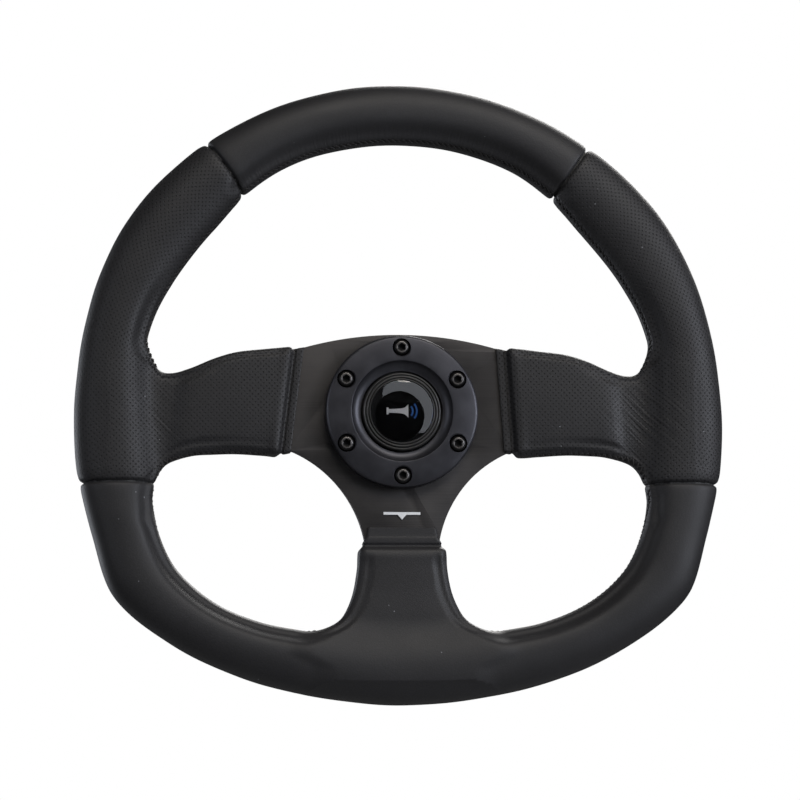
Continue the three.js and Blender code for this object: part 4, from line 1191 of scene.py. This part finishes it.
def make_ring():
    """The hub ring: a dished middle, a slightly crowned face and six counterbores."""
    funnel, floor, recess = 27.6, 22.2, 49.2
    cove = [(floor + (funnel - floor) * math.sin(t), RING_FRONT - 4.2 * math.cos(t) ** 1.5)
            for t in np.linspace(0, math.pi / 2, 9)]
    crown = [(funnel + 12.6 * t, RING_FRONT - 1.1 * t * t) for t in np.linspace(0, 1, 7)[1:]]
    profile = filleted([
        (floor, recess), *cove, *crown, (41.2, RING_FRONT - 1.8), (41.5, RING_FRONT - 2.6),
        (41.5, RING_REAR), (29.2, RING_REAR), (29.2, recess),
    ], 0.45, 4, closed=True)
    ring = lathed("hub_ring", profile, segments=144)
    seat = RING_FRONT - 5.7
    counterbore = [
        (0, RING_REAR - 1), (SCREW_HOLE, RING_REAR - 1), (SCREW_HOLE, seat), (4.9, seat),
        (4.9, RING_FRONT - 0.7), (5.5, RING_FRONT - 0.1), (5.5, RING_FRONT + 1), (0, RING_FRONT + 1)]
    carved(ring, [lathed("tool", counterbore, None, 48, place) for place in bolt_places()])
    smooth_but(ring)
    surfaced(ring, "anodised_ring")
    fitted(ring, "anodised_ring", "horn_ring")


def make_screws():
    """Socket head screws, with a hexagon socket and a painted highlight of lighter steel on the rim round
    it.
    """
    seat = RING_FRONT - 5.4
    top = seat + 5
    hexagon = 4 / math.sqrt(3)
    thread_pitch, thread_turns = 0.8, 12
    shank = [(0, seat - 14), (1.8, seat - 14), (2.35, seat - 13.4)]
    for k in range(thread_turns):
        shank += [(2.35, seat - 13.4 + k * thread_pitch), (1.95, seat - 13 + k * thread_pitch)]
    shank += [(2.35, seat - 2.8), (2.35, seat)]
    head = filleted([
        (2.35, seat), (4.25, seat), (4.25, top - 1.0), (3.3, top - 0.15), (2.95, top - 0.05), (2.85, top),
        (2.5, top), (0, top)], 0.25, 3)
    socket = [(0, top - 3.1), (hexagon, top - 2.6), (hexagon, top + 1), (0, top + 1)]
    chamfer = [(0, top - 0.55), (hexagon - 0.35, top - 0.35), (hexagon + 0.2, top + 0.1), (0, top + 0.1)]
    for i, place in enumerate(bolt_places()):
        screw = lathed(f"socket_screw_{i + 1}", shank + head[1:], None, 48, place)
        carved(screw, [lathed("tool", socket, None, 6, place), lathed("tool", chamfer, None, 36, place)])
        smooth_but(screw, 25)
        surfaced(screw, "black_steel", "steel_painted_highlight")
        # the faces round the socket get the lighter steel: a painted highlight on the socket's rim
        for face in screw.data.polygons:
            from_axis = math.hypot(face.center.x / MM - place[0], face.center.z / MM - place[1])
            if -face.center.y / MM > top - 0.5 and from_axis < 2.98:
                face.material_index = 1
        fitted(screw, "black_steel", f"ring_screw_{i + 1}")


# ---------------------------------------------------------------- horn button

def make_button():
    """The horn button: housing, ridged cap, badge with its lens, and the return spring."""
    body = lathed("button_housing", filleted([
        (22, 48.9), (28.9, 48.9), (28.9, RING_REAR), (25.5, RING_REAR), (25.5, 34.8), (22.6, 34.8),
        (22.6, 36), (23.5, 36), (23.5, 46.8), (22, 46.8)], 0.25, 3, closed=True), LOOKS["black_plastic"])
    fitted(body, "black_plastic", "horn_button_body")
    cap_profile = filleted([
        (0, 50), (19.8, 50), (19.8, 44.3), (22.9, 44.3), (22.9, 46.5), (21.3, 46.5), (21.3, 52.2),
        (20.7, 52.9), (20.2, 52.9), (20, 52.2), (19.7, 52.2), (19.4, 53.3), (18.6, 53.4), (18.3, 52.6),
        (18, 52.6), (17.8, 53.7), (17.15, 53.7), (17.05, 52), (0, 52)], 0.28, 3)
    cap = lathed("press_cap", cap_profile, LOOKS["black_plastic"], 144)
    fitted(cap, "black_plastic", "horn_button_cap", body="horn_cap")
    disc = lathed("badge_plate", filleted([(0, 52.3), (16.7, 52.3), (16.7, 52.9), (0, 52.9)], 0.15, 2),
                  LOOKS["black_plastic_gloss"], 96)
    fitted(disc, "black_plastic", "badge_disc", body="horn_cap")
    rear, edge, apex, rim = 53.8, 54.2, 56.25, 16.7
    rise = apex - edge
    sphere = (rim * rim + rise * rise) / (2 * rise)
    dome = [(0, rear), (rim - 0.2, rear), (rim, rear + 0.2)]
    for i in range(25):
        radius = rim * math.cos(i / 24 * math.pi / 2)
        dome.append((radius, apex - sphere + math.sqrt(sphere * sphere - radius * radius)))
    dome[-1] = (0, apex)
    lens = lathed("lens", dome, LOOKS["clear_dome"], 128)
    lens.data.materials.append(LOOKS["optical_bond"])
    for face in lens.data.polygons:
        face.material_index = int(face.normal.y > 0.99)
    fitted(lens, "clear_dome", "badge_dome", body="horn_cap")
    print_rear, print_front = 53.2, 53.5
    bugle = [(3.2, 3.6), (2.2, 2.5), (1.2, 1.75), (-0.6, 1.3), (-3, 1.1), (-7.2, 0.95), (-7.4, 1.9),
             (-8.4, 1.9)]
    outline = filleted(bugle + [(x, -z) for x, z in bugle[::-1]], 0.3, 3, closed=True)
    symbol = prism("bugle_print", outline, print_rear, print_front, LOOKS["white_print"])
    fitted(symbol, "white_print", "horn_symbol", body="horn_cap")
    for which, radius in (("inner", 3.6), ("outer", 5.8)):
        stroke = arc((1.5, 0), radius + 0.9, -38, 38, 28) + arc((1.5, 0), radius, 38, -38, 28)
        wave = prism(f"sound_print_{which}", stroke, print_rear, print_front, LOOKS["blue_print"])
        fitted(wave, "blue_print", f"sound_arc_{which}", body="horn_cap")
    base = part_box("horn_return_spring")
    coil = coil_path(9.2, -base[1].y / MM + 0.45, -base[0].y / MM - 0.45, 4.5)
    spring = tube("button_spring", coil, 0.45, LOOKS["spring_steel"])
    fitted(spring, "spring_steel", "horn_return_spring")
    squeezed(spring)


# ---------------------------------------------------------------- quick release

def ball_turns():
    """The turn of each locking ball about the column axis."""
    return [(i + 0.5) / BALL_COUNT * 2 * math.pi for i in range(BALL_COUNT)]


def radial_rod(turn, radius, start, end):
    """A round tool that points straight out from the column axis, at one ball."""
    along = rod(radius, start, end, segments=32)
    out = Vector((math.sin(turn), 0, math.cos(turn)))
    turned = Vector((0, -1, 0)).rotation_difference(out).to_matrix().to_4x4()
    along.data.transform(Matrix.Translation((0, -BALL_DEPTH * MM, 0)) @ turned)
    return along


def spline_outline():
    """The internal splines: round-cornered teeth between a root and a tip circle."""
    teeth, root, tip = 18, 18, 16.8
    pitch = 2 * math.pi / teeth
    points = []
    for i in range(teeth):
        for share in (-0.3, -0.1, 0.2, 0.3, 0.45, 0.6):
            radius = root if share < 0.25 else tip
            turn = (i + share) * pitch
            points.append((radius * math.cos(turn), radius * math.sin(turn)))
    return points


def make_quick_release():
    """The body with its splines, bolt holes and ball holes, and the balls."""
    barrel, flange, front, rear = 24.7, 40, 42, FLANGE_REAR
    profile = filleted([
        (0, 0), (barrel - 0.6, 0), (barrel, 0.6), (barrel, 1.5), (23.6, 1.5), (23.6, 3), (barrel, 3),
        (barrel, rear), (flange - 1.2, rear), (flange, rear + 1.2), (flange, front), (27, front),
        (27, 34.4), (21, 34.4), (21, 24), (0, 24)], 0.3, 3)
    body = lathed("coupling_body", profile, segments=128)
    mouth = [(0, -1), (19.6, -1), (17.4, 1.2), (0, 1.2)]
    countersink = [(0, rear - 1), (SCREW_HOLE + 1.2, rear - 1), (SCREW_HOLE, rear + 0.4), (0, rear + 0.4)]
    tools = [prism("tool", spline_outline(), -1, 19)]
    tools += [rod(6, 18, 25, segments=48), rod(1.6, 20, 25, (-14, 0), 24)]
    tools.append(lathed("tool", mouth, segments=96))
    tools += [rod(SCREW_HOLE, rear - 1, front + 1, place, 36) for place in bolt_places()]
    tools += [lathed("tool", countersink, None, 36, place) for place in bolt_places()]
    for turn in ball_turns():
        tools.append(radial_rod(turn, 3.65, 12, 26))
        tools.append(radial_rod(turn, 4.2, 18.7, 27))
    carved(body, tools)
    smooth_but(body)
    surfaced(body, "anodised_black_turned")
    fitted(body, "anodised_black", "quick_release_body")
    for i, turn in enumerate(ball_turns()):
        centre = Vector((BALL_CIRCLE * math.sin(turn), -BALL_DEPTH, BALL_CIRCLE * math.cos(turn))) * MM
        ball = put(bpy.data.meshes.new("ball"), f"bearing_ball_{i + 1}", LOOKS["bright_steel"])
        with opened(ball) as shape:
            bmesh.ops.create_icosphere(
                shape, subdivisions=4, radius=BALL_RADIUS * MM, matrix=Matrix.Translation(centre))
        smooth_but(ball, 80)
        fitted(ball, "bright_steel", f"lock_ball_{i + 1}", body=f"ball_{i + 1}")


def make_collar():
    """The sliding collar, with straight knurling cut into its finger flange."""
    rear_face, ramp_end = 3.4, 25.05
    ramp_mouth = ramp_end + BALL_LIFT / COLLAR_TRAVEL * (BALL_DEPTH - rear_face)
    profile = filleted([
        (ramp_mouth, rear_face), (ramp_end, BALL_DEPTH), (25, BALL_DEPTH + 0.3), (25, COLLAR_SHOULDER),
        (29.6, COLLAR_SHOULDER), (29.6, 25.5), (35.3, 25.5), (36, 24.8), (36, 21.7), (35.3, 21),
        (32.6, 20.2), (31.5, 18.6), (31.5, 8.4), (32.5, 7), (32.5, 4.6), (31.3, rear_face)], 0.4, 3,
        closed=True)
    collar = lathed("slide_collar", profile, segments=288)
    knurl_count, knurl_depth = 96, 0.32
    for vertex in collar.data.vertices:
        x, depth, z = vertex.co.x / MM, -vertex.co.y / MM, vertex.co.z / MM
        radius = math.hypot(x, z)
        turn = math.atan2(x, z)
        knurl = knurl_depth * (0.5 + 0.5 * math.cos(turn * knurl_count))
        if radius > 35.6 and 21.9 < depth < 24.9:
            vertex.co.x -= knurl * x / radius * MM
            vertex.co.z -= knurl * z / radius * MM
    smooth_but(collar, 40)
    collar.data.materials.append(LOOKS["anodised_ring"])
    fitted(collar, "anodised_ring", "release_collar", body="collar")
    coil = coil_path(27.3, COLLAR_SHOULDER + 1.1, FLANGE_REAR - 1.1, 4.75, 0.6, 48)
    spring = tube("slide_spring", coil, 0.8, LOOKS["spring_steel"])
    fitted(spring, "spring_steel", "collar_spring")
    squeezed(spring)
    outline = arc((0, 0), 27.2, 9, 351, 120) + arc((0, 0), 23.9, 351, 9, 120)
    ring = prism("snap_ring", outline, 1.6, 2.9, LOOKS["black_steel"])
    edges_rounded(ring, 0.2, 2)
    smooth_but(ring)
    fitted(ring, "black_steel", "collar_stop_ring")


def make_contact():
    """The horn's sprung contact pin in its insulating guide."""
    carrier = lathed("plunger_guide", filleted([
        (2.1, 17.5), (5.7, 17.5), (5.7, 24.3), (9, 24.3), (9, 26.3), (1.6, 26.3), (1.6, 25), (3.6, 25),
        (3.6, 18.9), (2.1, 18.9)], 0.25, 3, closed=True), LOOKS["natural_nylon"], 64)
    fitted(carrier, "natural_nylon", "contact_carrier")
    plunger = lathed("contact_pin", filleted([
        (0, 13.5), (1.2, 13.5), (1.8, 14.1), (1.8, 19.2), (3.2, 19.2), (3.2, 20.4), (1.3, 20.4),
        (1.3, 28), (0, 28)], 0.3, 4), LOOKS["brass"], 48)
    fitted(plunger, "brass", "contact_plunger", body="plunger")
    spring = tube("pin_spring", coil_path(2.45, 20.95, 24.45, 3.5, 0.5), 0.25, LOOKS["spring_steel"], 8)
    fitted(spring, "spring_steel", "plunger_spring")
    squeezed(spring)


def dress_cad_nodes():
    """Materials for the CAD nodes that are shown as they are."""
    looks = {
        "centre_mark": "white_print", "horn_button_base": "natural_nylon", "live_lead": "red_wire",
        "earth_lead": "black_wire", "earth_screw": "bright_steel",
    }
    contacts = ("horn_moving_contact", "horn_live_contact", "horn_earth_contact", "earth_connector",
                "earth_eyelet")
    looks.update(dict.fromkeys(contacts, "brass"))
    for node, look in looks.items():
        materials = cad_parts[node].data.materials
        if len(materials):
            materials[0] = LOOKS[look]
        else:
            materials.append(LOOKS[look])


# ---------------------------------------------------------------- stage, light and camera

def make_camera():
    """Far off, a little to the left and below the column axis, looking at the hub."""
    distance, frame_width = 2.2, 0.432
    azimuth, elevation, roll = (math.radians(degrees) for degrees in (-6.35, -8.5, 0.6))
    flat = math.cos(elevation)
    back = Vector((math.sin(azimuth) * flat, -math.cos(azimuth) * flat, math.sin(elevation)))
    turn = (-back).to_track_quat("-Z", "Y") @ Matrix.Rotation(-roll, 3, "Z").to_quaternion()
    aim = Vector((0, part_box("horn_ring")[0].y, 0)) + turn @ Vector((-0.00135, 0.0058, 0))
    data = bpy.data.cameras.new("camera")
    data.sensor_width = 36
    data.lens = 36 * distance / frame_width
    data.clip_start, data.clip_end = 0.05, 60
    camera = bpy.data.objects.new("camera", data)
    bpy.context.scene.collection.objects.link(camera)
    camera.rotation_mode = "QUATERNION"
    camera.location = aim + back * distance
    camera.rotation_quaternion = turn
    bpy.context.scene.camera = camera


def area_light(name, place, aim, size, power, colour):
    """An elliptical lamp. The place, the aim and the size are in metres."""
    data = bpy.data.lights.new(name, "AREA")
    data.shape = "ELLIPSE"
    data.size, data.size_y = size
    data.energy = power
    data.color = colour
    light = bpy.data.objects.new(name, data)
    bpy.context.scene.collection.objects.link(light)
    light.location = place
    light.rotation_mode = "QUATERNION"
    light.rotation_quaternion = (Vector(aim) - Vector(place)).to_track_quat("-Z", "Y")


def make_floor():
    """A pale floor far below, which looks as bright to the camera as a white studio sweep."""
    pale = Finish("pale_floor", (0.35, 0.35, 0.35), 0.8)
    pale.bump(pale.noise(60, 2), 0.05, 0.3)
    seen_bright = pale.add("ShaderNodeLightPath").outputs["Is Camera Ray"]
    pale.set("Emission Color", (0.9, 0.9, 0.9, 1))
    pale.links.new(pale.maths("MULTIPLY", seen_bright, 0.8), pale.shader.inputs["Emission Strength"])
    floor = put(bpy.data.meshes.new("floor"), "floor", pale.material)
    with opened(floor) as shape:
        bmesh.ops.create_grid(shape, x_segments=1, y_segments=1, size=12)
    floor.location.z = -1.5


def make_card():
    """A black card behind the camera, which darkens what the leather and the lens mirror."""
    card = rod(1150, 0, 10, segments=48)
    card.name = "dark_card"
    card.data.materials.append(Finish("card_black", (0.01, 0.01, 0.01), 0.9, specular=0.1).material)
    card.location = (0.2, -2.75, 0.2)
    card.visible_camera = False


def make_world():
    """White to the camera, and nearly dark to everything else."""
    world = bpy.data.worlds.new("studio")
    bpy.context.scene.world = world
    world.use_nodes = True
    tree = world.node_tree
    tree.nodes.clear()
    output = tree.nodes.new("ShaderNodeOutputWorld")
    path = tree.nodes.new("ShaderNodeLightPath")
    mix = tree.nodes.new("ShaderNodeMixShader")
    for socket, colour, strength in ((1, (0.93, 0.96, 1.0, 1), 0.05), (2, (1, 1, 1, 1), 1.0)):
        light = tree.nodes.new("ShaderNodeBackground")
        light.inputs["Color"].default_value = colour
        light.inputs["Strength"].default_value = strength
        tree.links.new(light.outputs[0], mix.inputs[socket])
    tree.links.new(path.outputs["Is Camera Ray"], mix.inputs["Fac"])
    tree.links.new(mix.outputs[0], output.inputs["Surface"])


def make_lights():
    """A warm key above, a broad front light that the lens mirrors as a crescent, and cooler fills."""
    hub = (0, -0.05, 0.02)
    area_light("key", (0.5, -1.78, 1.97), hub, (2.0, 1.2), 34, (1.0, 0.94, 0.85))
    area_light("crescent", (1.1, -3.1, 1.1), hub, (4.0, 4.0), 48, (0.88, 0.92, 1.0))
    area_light("left_fill", (-1.8, -1.3, 0.35), hub, (1.0, 1.0), 8, (0.86, 0.90, 1.0))
    area_light("right_fill", (1.85, -1.15, 0.3), hub, (1.0, 1.0), 30, (0.86, 0.90, 1.0))
    area_light("back_key", (0.9, 1.9, 1.5), hub, (1.4, 1.4), 48, (1.0, 0.98, 0.96))
    area_light("back_fill", (-1.7, 1.5, 0.1), hub, (1.2, 1.2), 20, (0.88, 0.92, 1.0))
    view = bpy.context.scene.view_settings
    view.view_transform = "Standard"
    view.look = "None"


make_camera()
make_floor()
make_card()
make_world()
make_lights()
make_leather()
make_foam()
make_stitching()
make_plate()
make_ring()
make_screws()
make_button()
make_quick_release()
make_collar()
make_contact()
dress_cad_nodes()
